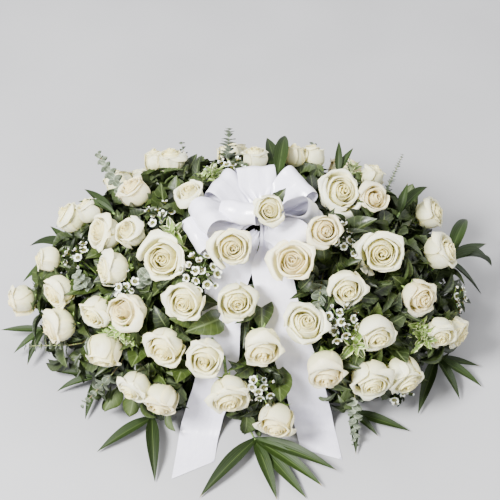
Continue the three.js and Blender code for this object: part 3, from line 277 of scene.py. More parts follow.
def add(tree, kind, sockets=(), out=0, **settings):
    """Adds a node with its settings, and gives one of its outputs, by its number or name.

    sockets: values to set or outputs to link, by name, or in the order of the inputs that are in use.
    """
    node = tree.nodes.new(kind)
    for key, value in settings.items():
        setattr(node, key, value)
    used = [socket for socket in node.inputs if socket.enabled]
    if isinstance(sockets, dict):
        names = [socket.name for socket in used]
        pairs = [(used[names.index(name)], value) for name, value in sockets.items()]
    else:
        pairs = zip(used, sockets)
    for socket, value in pairs:
        if isinstance(value, bpy.types.NodeSocket):
            tree.links.new(value, socket)
        else:
            socket.default_value = value
    if isinstance(out, str):
        return node.outputs[out]
    return [socket for socket in node.outputs if socket.enabled][out]


def new_tree(name, **inputs):
    """A geometry tree, and what its named inputs give: a geometry, a material and those of its own."""
    tree = bpy.data.node_groups.new(name, "GeometryNodeTree")
    for label, kind in {"Geometry": "Geometry", "Material": "Material", **inputs}.items():
        tree.interface.new_socket(name=label, in_out="INPUT", socket_type="NodeSocket" + kind)
    tree.interface.new_socket(name="Geometry", in_out="OUTPUT", socket_type="NodeSocketGeometry")
    return tree, tree.nodes.new("NodeGroupInput").outputs


def planted(tree, points, shapes, number, turn, size):
    """One of the shapes on each point, by its number, turned and sized."""
    picks = add(tree, "GeometryNodeCollectionInfo", (shapes, True, True))
    return add(tree, "GeometryNodeInstanceOnPoints", {
        "Points": points, "Instance": picks, "Pick Instance": True, "Instance Index": number,
        "Rotation": turn, "Scale": size})


def end_tree(tree, geometry, material):
    """Ends a tree with real geometry in its material."""
    real = add(tree, "GeometryNodeRealizeInstances", (geometry,))
    dressed = add(tree, "GeometryNodeSetMaterial", {"Geometry": real, "Material": material})
    tree.links.new(dressed, tree.nodes.new("NodeGroupOutput").inputs[0])
    return tree


def put(name, mesh, material=None):
    """A new object in the scene, with smooth faces."""
    piece = bpy.data.objects.new(name.lower().replace(" ", "_"), mesh)
    bpy.context.scene.collection.objects.link(piece)
    if material:
        mesh.materials.append(material)
    mesh.polygons.foreach_set("use_smooth", [True] * len(mesh.polygons))
    return piece


def finish_piece(piece, slot, *nodes):
    """Puts a piece on the body and hides the solids that it stands for; slot is not used."""
    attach(piece, "root")
    if nodes:
        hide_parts(*nodes)
    return piece


def grow(name, mesh, tree, slot, *nodes, **values):
    """Runs a tree on a mesh, and finishes the result as a piece with a plain mesh.

    values: what the tree's inputs get, by their names in lower case.
    """
    piece = put(name, mesh)
    modifier = piece.modifiers.new("Grow", "NODES")
    modifier.node_group = tree
    for socket in tree.interface.items_tree:
        key = socket.name.lower()
        if socket.in_out == "INPUT" and key in values:
            modifier[socket.identifier] = values[key]
    depsgraph = bpy.context.evaluated_depsgraph_get()
    made = bpy.data.meshes.new_from_object(
        piece.evaluated_get(depsgraph), preserve_all_data_layers=True, depsgraph=depsgraph)
    piece.modifiers.clear()
    piece.data = made
    if not made.polygons:
        raise RuntimeError(name + " has no faces")
    made.polygons.foreach_set("use_smooth", [True] * len(made.polygons))
    for vertex in made.vertices:
        vertex.co.z = max(vertex.co.z, LOWEST)
    return finish_piece(piece, slot, *nodes)


def store(mesh, name, values):
    """Stores a number, a whole number or a vector on every point."""
    values = np.asarray(values)
    kind = "FLOAT_VECTOR" if values.ndim == 2 else "INT" if values.dtype.kind == "i" else "FLOAT"
    layer = mesh.attributes.new(name, kind, "POINT")
    layer.data.foreach_set("vector" if kind == "FLOAT_VECTOR" else "value", values.ravel())


def weld(mesh, reach=1e-6):
    """Closes seams and poles, and keeps the thin rims crisp."""
    shape = bmesh.new()
    shape.from_mesh(mesh)
    bmesh.ops.remove_doubles(shape, verts=shape.verts, dist=reach)
    bmesh.ops.dissolve_degenerate(shape, edges=shape.edges, dist=reach)
    for edge in shape.edges:
        edge.smooth = edge.calc_face_angle(0) < CRISP_ANGLE
    shape.to_mesh(mesh)
    shape.free()


def closed_sheet(name, grid, thick):
    """A thin closed body over a grid of points, rows by columns, with its place along and across stored."""
    grid = np.asarray(grid, dtype=float)
    rows, columns = grid.shape[:2]
    normal = np.cross(np.gradient(grid, axis=0), np.gradient(grid, axis=1))
    size = np.linalg.norm(normal, axis=2, keepdims=True)
    under = grid - thick * normal / np.where(size > 1e-12, size, 1)
    top = np.arange(rows * columns).reshape(rows, columns)
    bottom = top.copy()
    inner = (rows - 2) * (columns - 2)
    bottom[1:-1, 1:-1] = rows * columns + np.arange(inner).reshape(rows - 2, columns - 2)
    points = np.concatenate([grid.reshape(-1, 3), under[1:-1, 1:-1].reshape(-1, 3)])
    faces = []
    for r in range(rows - 1):
        for c in range(columns - 1):
            faces.append((top[r, c], top[r + 1, c], top[r + 1, c + 1], top[r, c + 1]))
            faces.append((bottom[r, c], bottom[r, c + 1], bottom[r + 1, c + 1], bottom[r + 1, c]))
    mesh = bpy.data.meshes.new(name)
    mesh.from_pydata(points.tolist(), [], faces)
    along = np.repeat(np.linspace(0, 1, rows)[:, None], columns, axis=1)
    across = np.repeat(np.linspace(-1, 1, columns)[None], rows, axis=0)
    for key, values in (("along", along), ("across", across)):
        store(mesh, key, np.concatenate([values.ravel(), values[1:-1, 1:-1].ravel()]))
    store(mesh, "under", np.concatenate([np.zeros(rows * columns), np.ones(inner)]))
    weld(mesh)
    return mesh


def joined(name, meshes):
    """One mesh of several, with their stored values kept."""
    shape = bmesh.new()
    for mesh in meshes:
        shape.from_mesh(mesh)
    made = bpy.data.meshes.new(name)
    shape.to_mesh(made)
    shape.free()
    return made


def moved(mesh, matrix):
    """The same mesh after a move, turn or stretch."""
    mesh.transform(matrix)
    return mesh


def shape_set(name, meshes):
    """A collection of shapes, in no scene, that trees pick from by number."""
    shapes = bpy.data.collections.new(name)
    for k, mesh in enumerate(meshes):
        mesh.polygons.foreach_set("use_smooth", [True] * len(mesh.polygons))
        shapes.objects.link(bpy.data.objects.new(f"{name} {k:03d}", mesh))
    return shapes


def spot(at, turn, size, kind=0, tint=0.5, spin=0.0):
    """Where one repeated shape goes, in mm: its place, turn, size along each axis, kind, tint and spin."""
    return {"at": at, "turn": turn, "size": size, "kind": kind, "tint": tint, "spin": spin}


def leaf_spot(at, along, normal, long, broad, kind, tint):
    """The spot of a leaf: where its foot is, where it points, where it faces, its length and its width."""
    return spot(at, turned(along, normal), (long, broad, long), kind, tint)


def seedlings(name, spots):
    """Points that carry the values of their spots."""
    mesh = bpy.data.meshes.new(name)
    mesh.from_pydata([tuple(p["at"] * MM) for p in spots], [], [])
    store(mesh, "turn", [tuple(p["turn"].to_euler()) for p in spots])
    store(mesh, "size", [tuple(Vector(p["size"]) * MM) for p in spots])
    for key in ("kind", "tint", "spin"):
        store(mesh, key, [p[key] for p in spots])
    return mesh


def turned(along, normal):
    """A turn that brings X to a direction and Z near a normal."""
    x = along.normalized()
    y = normal.cross(x).normalized()
    return Matrix((x, y, x.cross(y))).transposed().to_quaternion()


def around(axis, angle):
    """A direction at right angles to an axis, turned about it."""
    return Quaternion(axis, angle) @ axis.orthogonal().normalized()


def upright(direction):
    """A turn that brings Z to a direction."""
    return direction.to_track_quat("Z", "X")


def square_to(along, axis):
    """What of an axis is at right angles to a direction."""
    return (axis - along * axis.dot(along)).normalized()


def smooth_path(points, steps):
    """Points on a smooth curve through others, the same number between each two."""
    path = []
    last = len(points) - 1
    for k in range(last):
        a, b, c, d = (points[min(max(j, 0), last)] for j in (k - 1, k, k + 1, k + 2))
        for s in range(steps):
            t = s / steps
            path.append(0.5 * (2 * b + (c - a) * t + (2 * a - 5 * b + 4 * c - d) * t * t
                               + (3 * b - a - 3 * c + d) * t ** 3))
    return path + [points[-1]]


# Materials

def per(size_mm):
    """The scale of a pattern whose marks are of a size in mm."""
    return 1 / (size_mm * MM)


def surface(name, finish, *reads):
    """A material: itself, its tree, its shader's inputs, its object coordinates and what it reads."""
    material = bpy.data.materials.new(name)
    material.use_nodes = True
    tree = material.node_tree
    inputs = tree.nodes["Principled BSDF"].inputs
    for key, value in finish.items():
        inputs[key].default_value = value
    place = add(tree, "ShaderNodeTexCoord", out="Object")
    return material, tree, inputs, place, *(
        add(tree, "ShaderNodeAttribute", out="Fac", attribute_name=key) for key in reads)


def layered(tree, shade, *layers, blend="MIX"):
    """Lays colours over a first one.

    A layer: its colour, the value that brings it in, and the band of that value, which starts and ends it.
    """
    for tint, share, *band in layers:
        if band:
            share = add(tree, RANGE, (share, *band), **SMOOTH)
        shade = add(tree, MIX, (share, shade, tint), data_type="RGBA", blend_type=blend)
    return shade


def halfway(a, b):
    """The colour halfway between two."""
    return tuple((x + y) / 2 for x, y in zip(a, b))


def finished(material, tree, inputs, shade, height, strength, deep):
    """Gives a material its colour, and its relief: a height, how strong it shows and how deep it is in mm."""
    tree.links.new(shade, inputs["Base Color"])
    relief = add(tree, "ShaderNodeBump", {"Height": height, "Strength": strength, "Distance": deep * MM})
    tree.links.new(relief, inputs["Normal"])
    return material


def petal_material(colours):
    """Rose petal: velvety and thin, warm white, creamier towards the heart and greenish at its foot."""
    material, tree, inputs, place, whorl, along, across, tint = surface("Rose petal, velvety", {
        "Roughness": 0.5, "Subsurface Weight": 0.5, "Subsurface Scale": 0.009,
        "Subsurface Radius": (1, 0.8, 0.5), "Sheen Weight": 0.12, "Specular IOR Level": 0.35},
        "whorl", "along", "across", "tint")
    outside = layered(tree, colours.petal, (linear("#f9edc6"), tint, 0.6, 1, 0, 0.5))
    core = layered(tree, colours.petal_heart, (linear("#f6d9a2"), tint, 0.6, 1, 0, 0.45))
    inner = add(tree, MATH, (tint, 0.3, whorl), operation="MULTIPLY_ADD")
    foot = add(tree, MATH, (
        add(tree, RANGE, (along, 0.62, 0.1), **SMOOTH), add(tree, RANGE, (whorl, 0.9, 0.2), **SMOOTH)),
        operation="MULTIPLY")
    wide = add(tree, MATH, (across, 14), operation="MULTIPLY")
    streak = add(tree, NOISE, {
        "Vector": add(tree, "ShaderNodeCombineXYZ", (wide, along)), "Scale": 1.6, "Detail": 4})
    patch = add(tree, NOISE, {"Vector": place, "Scale": per(16), "Detail": 2})
    worn = add(tree, MATH, (streak, patch), operation="MULTIPLY")
    shade = layered(tree, outside, (core, inner, -0.05, 0.85), (colours.petal_base, foot))
    shade = layered(tree, shade, (linear("#d9d3a8"), worn, 0.2, 0.36, 0.1, 0), blend="MULTIPLY")
    return finished(material, tree, inputs, shade, streak, 0.25, 0.4)


def leaf_material(name, light, dark, rough=0.38):
    """Leaf: waxy upper face with a paler midrib and side veins, and a dull underside."""
    ribs, rib_tint = 7, 0.32
    material, tree, inputs, place, across, along, under, tint = surface(name, {
        "Roughness": rough, "Coat Weight": 0.08, "Coat Roughness": 0.3, "Specular IOR Level": 0.38},
        "across", "along", "under", "tint")
    side = add(tree, MATH, (across,), operation="ABSOLUTE")
    mottle = add(tree, NOISE, {"Vector": place, "Scale": per(11), "Detail": 3})
    young = add(tree, MATH, (
        add(tree, RANGE, (tint, 0, 1), **SMOOTH), add(tree, RANGE, (mottle, 0.3, 0.7, 0.6, 1), **SMOOTH)),
        operation="MULTIPLY")
    lag = add(tree, MATH, (side, 0.22), operation="MULTIPLY")
    slant = add(tree, MATH, (along, lag), operation="SUBTRACT")
    phase = add(tree, MATH, (slant, ribs * math.tau), operation="MULTIPLY")
    vein = add(tree, RANGE, (add(tree, MATH, (phase,), operation="SINE"), 0.9, 1, 0, 0.45), **SMOOTH)
    midrib = add(tree, RANGE, (side, 0.13, 0.02), **SMOOTH)
    lines = add(tree, MATH, (vein, midrib), operation="MAXIMUM")
    shade = layered(
        tree, dark, (light, young),
        (halfway(light, linear("#b9cf8a")), add(tree, MATH, (lines, rib_tint), operation="MULTIPLY")),
        (halfway(light, linear("#a9bb8c")), add(tree, MATH, (under, 0.35), operation="MULTIPLY")))
    tree.links.new(add(tree, RANGE, (under, 0, 1, rough, 0.7), **SMOOTH), inputs["Roughness"])
    relief = add(tree, MATH, (mottle, lines), operation="SUBTRACT")
    return finished(material, tree, inputs, shade, relief, 0.35, 0.5)


def palm_material(colours):
    """Palm blade: long, satiny, with parallel veins, a paler fold and a dry tip here and there."""
    material, tree, inputs, place, across, along, tint = surface("Palm blade, satiny", {
        "Roughness": 0.52, "Specular IOR Level": 0.22}, "across", "along", "tint")
    side = add(tree, MATH, (across,), operation="ABSOLUTE")
    phase = add(tree, MATH, (across, 26), operation="MULTIPLY")
    wave = add(tree, MATH, (phase,), operation="SINE")
    patch = add(tree, NOISE, {"Vector": place, "Scale": per(25), "Detail": 2})
    dry = add(tree, MATH, (
        add(tree, RANGE, (along, 0.93, 1), **SMOOTH), add(tree, RANGE, (patch, 0.45, 0.6), **SMOOTH)),
        operation="MULTIPLY")
    shade = layered(tree, colours.leaf_dark, (colours.palm, tint), (linear("#435a28"), wave, 0.2, 1, 0, 0.2),
                    (linear("#74894c"), side, 0.07, 0.02, 0, 0.22), (linear("#8b7b4a"), dry))
    return finished(material, tree, inputs, shade, wave, 0.3, 0.3)


def variegated_material(colours):
    """Pittosporum leaf: olive green with an uneven cream edge."""
    material, tree, inputs, place, across, under, tint = surface("Pittosporum leaf, variegated", {
        "Roughness": 0.4, "Coat Weight": 0.1}, "across", "under", "tint")
    side = add(tree, MATH, (across,), operation="ABSOLUTE")
    uneven = add(tree, NOISE, {"Vector": place, "Scale": per(4), "Detail": 3})
    edge = add(tree, MATH, (uneven, 0.9, side), operation="MULTIPLY_ADD")
    shade = layered(
        tree, colours.leaf, (colours.variegated, add(tree, MATH, (tint, uneven)), 0.4, 1.3),
        (colours.cream, side, 0.12, 0.02, 0, 0.3), (colours.cream, edge, 1.22, 1.36),
        (linear("#c3cfa0"), add(tree, MATH, (under, 0.3), operation="MULTIPLY")))
    return finished(material, tree, inputs, shade, uneven, 0.2, 0.4)


def silver_material(colours):
    """Eucalyptus leaf: grey-green under a pale waxy bloom, dull."""
    material, tree, inputs, place, across, tint = surface("Eucalyptus leaf, waxy bloom", {
        "Roughness": 0.66, "Sheen Weight": 0.08}, "across", "tint")
    side = add(tree, MATH, (across,), operation="ABSOLUTE")
    cloud = add(tree, NOISE, {"Vector": place, "Scale": per(9), "Detail": 4})
    shade = layered(
        tree, linear("#4a5644"), (colours.silver, tint), (linear("#a2aa94"), cloud, 0.42, 0.7, 0, 0.45),
        (linear("#c3cdbb"), side, 0.8, 1, 0, 0.5), (linear("#a9b89c"), side, 0.1, 0.02, 0, 0.6))
    return finished(material, tree, inputs, shade, cloud, 0.15, 0.3)


def stem_material(colours, name, shade_code):
    """Green stem: fine streaks and a slight gloss."""
    material, tree, inputs, place = surface(name, {"Roughness": 0.5})
    streak = add(tree, NOISE, {"Vector": place, "Scale": per(4.5), "Detail": 3})
    shade = layered(tree, linear(shade_code), (colours.sepal, streak, 0.35, 0.65))
    return finished(material, tree, inputs, shade, streak, 0.3, 0.3)


def wax_material(colours):
    """Wax flower: waxy white petals round an olive cup."""
    material, tree, inputs, place, cup, tint = surface("Wax flower, waxy", {
        "Roughness": 0.3, "Subsurface Weight": 0.15, "Subsurface Scale": 0.003, "Coat Weight": 0.15},
        "cup", "tint")
    speck = add(tree, NOISE, {"Vector": place, "Scale": per(1.4), "Detail": 2})
    inside = add(tree, MATH, (speck, 0.3, cup), operation="MULTIPLY_ADD")
    shade = layered(tree, colours.wax_petal, (linear("#e7e6cf"), tint, 0, 1, 0, 0.35),
                    (colours.wax_cup, inside, 0.35, 0.85))
    return finished(material, tree, inputs, shade, speck, 0.2, 0.2)


def satin_material(colours):
    """Satin ribbon: smooth woven face that stretches its highlight across, with creases along it.

    The weft is drawn at 0.45 mm, about twice as coarse as the real one, which would be too fine to show.
    """
    material, tree, inputs, _ = surface("Satin ribbon, woven", {
        "Roughness": 0.27, "Anisotropic": 0.6, "Sheen Weight": 0.08, "Specular IOR Level": 0.9})
    flat = add(tree, "ShaderNodeUVMap", uv_map="UVMap")
    tree.links.new(add(tree, "ShaderNodeTangent", direction_type="UV_MAP", uv_map="UVMap"), inputs["Tangent"])
    weft = add(tree, "ShaderNodeTexWave", {"Vector": flat, "Scale": per(0.45) / math.tau, "Distortion": 0.6},
               out="Fac", bands_direction="Y")
    slub = add(tree, NOISE, {"Vector": flat, "Scale": per(11), "Detail": 3})
    crease = add(tree, NOISE, {
        "Vector": add(tree, "ShaderNodeMapping", {"Vector": flat, "Scale": (per(14), per(110), 1)}),
        "Scale": 1, "Detail": 2})
    shade = layered(tree, colours.satin, (linear("#c9c7da"), slub, 0.3, 0.7, 0, 0.12), blend="MULTIPLY")
    threads = add(tree, MATH, (weft, slub), operation="MULTIPLY")
    relief = add(tree, MATH, (crease, 100, threads), operation="MULTIPLY_ADD")
    return finished(material, tree, inputs, shade, relief, 0.5, 0.03)


def foam_material(colours):
    """Floral foam: dull and crumbly, with open cells whose middles are painted darker, as painted shade in
    the pores.
    """
    material, tree, inputs, place = surface("Floral foam, open cells", {
        "Roughness": 0.95, "Specular IOR Level": 0.15})
    cells = add(tree, "ShaderNodeTexVoronoi", {"Vector": place, "Scale": per(1.4)})
    crumb = add(tree, NOISE, {"Vector": place, "Scale": per(6), "Detail": 4})
    # painted shade: the middle of each cell, where the bump sinks into a pore, is darkened to 0.4 of the
    # foam's colour
    deep = (*(0.4 * c for c in colours.foam[:3]), 1)
    shade = layered(tree, deep, (colours.foam, cells, 0.1, 0.6), (linear("#4f7d4b"), crumb, 0.3, 0.7, 0, 0.4))
    return finished(material, tree, inputs, shade, cells, 0.8, 0.8)


def tray_material(colours):
    """Moulded plastic: dark green, fine-grained, with a few pale scuffs."""
    material, tree, inputs, place = surface("Moulded plastic, fine grain", {"Roughness": 0.42})
    grain = add(tree, NOISE, {"Vector": place, "Scale": per(0.7), "Detail": 2})
    scuff = add(tree, NOISE, {"Vector": place, "Scale": per(18), "Detail": 5})
    tree.links.new(add(tree, RANGE, (scuff, 0.3, 0.7, 0.35, 0.55), **SMOOTH), inputs["Roughness"])
    shade = layered(tree, colours.tray, (linear("#4b5c49"), scuff, 0.56, 0.7, 0, 0.35))
    return finished(material, tree, inputs, shade, grain, 0.25, 0.2)


# Shapes that are repeated: unit length along X, unit width along Y, face up

OUTLINES = {  # half widths at even steps along a leaf, as shares of its widest
    "ovate": [0.04, 0.5, 0.86, 1, 0.97, 0.85, 0.64, 0.36, 0],
    "elliptic": [0.04, 0.3, 0.64, 0.9, 1, 0.95, 0.76, 0.43, 0],
    "lance": [0.05, 0.42, 0.72, 0.92, 1, 0.94, 0.76, 0.44, 0],
    "round": [0.06, 0.7, 0.93, 1, 1, 0.95, 0.82, 0.58, 0],
    "blade": [0.25, 0.6, 0.86, 1, 1, 0.9, 0.74, 0.52, 0.27, 0],
    "sepal": [0.9, 1, 0.86, 0.66, 0.44, 0.22, 0],
}


def leaf_mesh(kind, rows=9, columns=5, fold=0.12, droop=0.12, sag=0.5, wave=0.0, teeth=0.0, thick=0.012):
    """A leaf of one outline as a thin closed body.

    fold: how steeply its halves rise from the midrib. droop and sag: its arch, and how far its tip hangs.
    wave: how far its edge waves. teeth: how far they stand out, as a share of the width.
    """
    outline = OUTLINES[kind]
    sweep = 0.04 if teeth else 0
    grid = np.zeros((rows, columns, 3))
    for r, t in enumerate(np.linspace(0, 1, rows)):
        half = np.interp(t, np.linspace(0, 1, len(outline)), outline) / 2
        if 0 < r < rows - 1:
            half *= 1 + teeth * (-1) ** r
        for c, s in enumerate(np.linspace(-1, 1, columns)):
            lift = fold * half * abs(s) * 2 + wave * abs(s) * math.sin(t * 15 + s * 2)
            grid[r, c] = (t - sweep * abs(s), s * half, lift + droop * (t * (1 - t) * 2 - sag * t))
    return closed_sheet(kind, grid, thick)


BROAD, ROSE_LEAF, SLIM, NEEDLE = (0, 1, 2), (3, 4), (5, 6), 5  # numbers in the set of leaves


def leaf_kinds(columns=5):
    """Broad leaves, rose leaflets and slim leaves, with few faces where they are repeated by the hundred."""
    broad = ((0.1, 0.012, 0.12), (0.26, 0.02, 0.2), (-0.1, 0.016, 0.12))
    meshes = [leaf_mesh("elliptic", columns=columns, droop=droop, wave=wave, fold=fold)
              for droop, wave, fold in broad]
    meshes += [leaf_mesh("ovate", 11, columns, teeth=0.07, fold=fold, droop=droop)
               for fold, droop in ((0.2, 0.16), (0.3, 0.3))]
    meshes += [leaf_mesh("lance", columns=3, fold=fold, droop=droop)
               for fold, droop in ((0.3, 0.2), (0.15, 0.36))]
    return shape_set("Leaf", meshes)


PETALS = 21  # in each rose
OPENINGS = (0.1, 0.5, 0.9)
CLOSED, FLATTER = 1.9, 0.8  # a closed head's height for its radius, and how much less it is when fully open
BUDS = 2  # roses that differ in each opening


def rose_tall(opening):
    """How tall a rose's head is for its radius."""
    return CLOSED - FLATTER * opening


def petal_line(opening, w, rim, tall, reflex):
    """How a petal rises from its foot to its rolled rim: radius and height. w: 0 outermost, 1 innermost."""
    guard = max(0, 1 - w / 0.34)
    belly = (0.92 - 0.18 * opening) * (1 - w) ** 0.8 + 0.05
    flare = -0.52 + 0.25 * opening + max(0, 1 - w / 0.6) ** 0.8 * (0.26 + 0.12 * opening)
    mouth = belly * (1 + flare)
    roll = guard ** 0.8 * (0.08 + 0.03 * opening) + 0.015
    edge = mouth + roll * 1.2
    line = [(0.17 - 0.12 * w, 0), (belly * 0.8, tall * 0.15), (belly, tall * 0.4),
            (belly * 0.45 + mouth * 0.55, rim * 0.76), (mouth, rim * 0.95), (mouth + roll * 0.6, rim)]
    if guard:
        line.append((edge + reflex * 0.12, rim - roll * 0.75 - reflex * 0.08))
    if reflex:
        line.append((edge + reflex * 0.17, rim - roll * 0.75 - reflex * 0.3))
    return smooth_path([Vector(p) for p in line], 6), guard


def petal_mesh(opening, bud, k, rows=10, columns=9):
    """Petal k of a rose of radius 1: the outer ones roll back to a point, the inner ones wrap round."""
    w = k / (PETALS - 1)
    draw = random.Random(1000 * opening + 100 * bud + k)
    tall = rose_tall(opening)
    rim = tall * (1 - (0.15 + 0.15 * opening) * (1 - w) ** 1.4 + draw.uniform(-0.03, 0.03))
    reflex = draw.uniform(0.4, 1) if k in (bud, 3) else 0
    path, guard = petal_line(opening, w, rim, tall, reflex)
    reach = math.radians(68 + 46 * w + draw.uniform(-6, 6))
    swell = 1 + draw.uniform(-0.05, 0.06) * (0.4 + guard)
    skew = draw.uniform(-0.15, 0.15)
    point = draw.uniform(0.08, 0.3)
    grid = np.zeros((rows, columns, 3))
    for r, t in enumerate(np.linspace(0, 1, rows)):
        for c, s in enumerate(np.linspace(-1, 1, columns)):
            side = abs(s - skew * (1 - s * s))
            far = t * (1 - (0.12 * guard + 0.02) * side - (0.17 - 0.08 * w) * side ** 3)
            at = min(far, 1) * (len(path) - 1)
            before = min(int(at), len(path) - 2)
            p = path[before].lerp(path[before + 1], at - before)
            wide = reach * (0.42 + 0.58 * math.sin(min(1, t / 0.6) * math.pi / 2))
            wide *= 1 - 0.14 * max(0, t - 0.7) / 0.3
            out = p.x * swell + 0.05 * s * (1 - 0.6 * w) * min(1, t * 3)
            out += guard * 0.14 * max(0, abs(s) - 0.5) / 0.45 * t
            out += guard * point * math.exp(-(side / 0.26) ** 2) * t ** 5
            up = p.y + 0.08 * guard * math.exp(-(side / 0.28) ** 2) * t ** 3
            grid[r, c] = (out * math.cos(wide * s), out * math.sin(wide * s), up)
    mesh = closed_sheet(f"petal {k}", grid, -0.014)
    store(mesh, "whorl", np.full(len(mesh.vertices), w))
    return mesh


def petal_kinds():
    """The petals of every opening and bud, in order."""
    return shape_set("Petal", [
        petal_mesh(opening, bud, k) for opening in OPENINGS for bud in range(BUDS) for k in range(PETALS)])


def palm_kinds():
    """Palm blades that fold and hang differently."""
    return shape_set("Palm blade", [
        leaf_mesh("blade", rows=14, fold=fold, droop=droop, sag=0, thick=0.006)
        for fold, droop in ((0.05, 0.12), (0.075, 0.2), (0.035, 0.05))])


def lathe(name, rings, sides=10):
    """A turned body from pairs of radius and height, closed at both ends."""
    points, faces = [], []
    for radius, height in rings:
        for k in range(sides):
            turn = math.tau * k / sides
            points.append((radius * math.cos(turn), radius * math.sin(turn), height))
    for r in range(len(rings) - 1):
        for k in range(sides):
            a, b = r * sides + k, r * sides + (k + 1) % sides
            faces.append((a, b, b + sides, a + sides))
    faces.append(tuple(range(sides))[::-1])
    faces.append(tuple(range((len(rings) - 1) * sides, len(rings) * sides)))
    mesh = bpy.data.meshes.new(name)
    mesh.from_pydata(points, [], faces)
    weld(mesh)
    return mesh


def calyx_mesh():
    """A rose's hip and five sepals that curl down, for a seat of radius 1."""
    parts = [lathe("hip", [(0.36, -1.5), (0.62, -1.2), (0.86, -0.7), (0.95, -0.25), (0.6, 0)])]
    place = Matrix.Translation((0.6, 0, -0.12)) @ Matrix.Diagonal((1.9, 0.85, 0.7, 1))
    for k in range(5):
        sepal = leaf_mesh("sepal", rows=8, fold=-0.3, droop=0.9, thick=0.05)
        parts.append(moved(sepal, Matrix.Rotation(math.tau * (k + 0.3) / 5, 4, "Z") @ place))
    return joined("calyx", parts)


CUP = [(0.03, -0.42), (0.15, -0.3), (0.24, -0.1), (0.27, 0.04), (0.21, 0.06), (0.16, -0.04), (0.0, -0.06)]
PISTIL = [(0.025, -0.06), (0.02, 0.1), (0.045, 0.12), (0.0, 0.15)]


def floret_mesh(open_share):
    """A wax flower of unit width: five round petals on a cup with its pistil."""
    tilt = Matrix.Rotation(-math.radians(8 + 62 * (1 - open_share)), 4, "Y")
    place = Matrix.Translation((0.15, 0, 0)) @ tilt @ Matrix.Diagonal((0.36, 0.4, 0.3, 1))
    parts = []
    for k in range(5):
        petal = leaf_mesh("round", rows=6, fold=-0.1, droop=-0.5, wave=0.03, thick=0.06)
        store(petal, "cup", np.zeros(len(petal.vertices)))
        parts.append(moved(petal, Matrix.Rotation(math.tau * k / 5, 4, "Z") @ place))
    for rings, cup in ((CUP, 1.0), (PISTIL, 0.6)):
        body = lathe("cup", rings, 8)
        store(body, "cup", np.full(len(body.vertices), cup))
        parts.append(body)
    return joined("floret", parts)


# Trees that place shapes, draw stems and scatter leaves

def place_tree():
    """Puts a shape on each point, by the point's kind, turn and size."""
    tree, given = new_tree("Place shapes", Shapes="Collection")
    turn, size = (add(tree, STORED, (key,), data_type="FLOAT_VECTOR") for key in ("turn", "size"))
    kind = add(tree, STORED, ("kind",), data_type="INT")
    placed = planted(tree, given["Geometry"], given["Shapes"], kind, add(tree, TO_ROTATION, (turn,)), size)
    return end_tree(tree, placed, given["Material"])


def bloom_tree():
    """Grows a rose on each seat: its petals by the golden turn, a little uneven, with waved edges."""
    tree, given = new_tree("Grow roses", Petals="Collection", Count="Int", Ruffle="Float")
    turn, size = (add(tree, STORED, (key,), data_type="FLOAT_VECTOR") for key in ("turn", "size"))
    kind = add(tree, STORED, ("kind",), data_type="INT")
    start, along = (add(tree, STORED, (key,), data_type="FLOAT") for key in ("spin", "along"))
    copies = add(tree, "GeometryNodeDuplicateElements", {
        "Geometry": given["Geometry"], "Amount": given["Count"]}, domain="POINT")
    index = copies.node.outputs["Duplicate Index"]
    number = add(tree, MATH, (kind, given["Count"], index), operation="MULTIPLY_ADD")
    spin = add(tree, MATH, (index, GOLDEN_TURN, start), operation="MULTIPLY_ADD")
    lean = add(tree, RANDOM, {"Min": (-0.07, -0.07, 0), "Max": (0.07, 0.07, 0), "Seed": 11},
               data_type="FLOAT_VECTOR")
    about = add(tree, VECTOR, (add(tree, "ShaderNodeCombineXYZ", {"Z": spin}), lean))
    whole = add(tree, ROTATE, [add(tree, TO_ROTATION, (euler,)) for euler in (turn, about)],
                rotation_space="LOCAL")
    vary = add(tree, RANDOM, {"Min": 0.95, "Max": 1.04, "Seed": 5}, data_type="FLOAT")
    grown = add(tree, VECTOR, (size, vary), operation="SCALE")
    petals = add(tree, "GeometryNodeRealizeInstances", (
        planted(tree, copies, given["Petals"], number, whole, grown),))
    waves = add(tree, NOISE, {
        "Vector": add(tree, "GeometryNodeInputPosition"), "Scale": PETAL_WAVES, "Detail": 1}, out="Color")
    even = add(tree, VECTOR, (waves, (0.5, 0.5, 0.5)), operation="SUBTRACT")
    amount = add(tree, MATH, (given["Ruffle"], 4), operation="MULTIPLY")
    amount = add(tree, MATH, (amount, along), operation="MULTIPLY")
    shift = add(tree, VECTOR, (even, amount), operation="SCALE")
    waved = add(tree, "GeometryNodeSetPosition", {"Geometry": petals, "Offset": shift})
    return end_tree(tree, waved, given["Material"])


def stem_tree():
    """Draws a round stem along each line, as thick as its points say."""
    tree, given = new_tree("Draw stems", Sides="Int")
    ring = add(tree, "GeometryNodeCurvePrimitiveCircle", {"Resolution": given["Sides"], "Radius": 1})
    tube = add(tree, "GeometryNodeCurveToMesh", {
        "Curve": add(tree, "GeometryNodeMeshToCurve", (given["Geometry"],)), "Profile Curve": ring,
        "Scale": add(tree, STORED, ("thick",), data_type="FLOAT"), "Fill Caps": True})
    return end_tree(tree, tube, given["Material"])


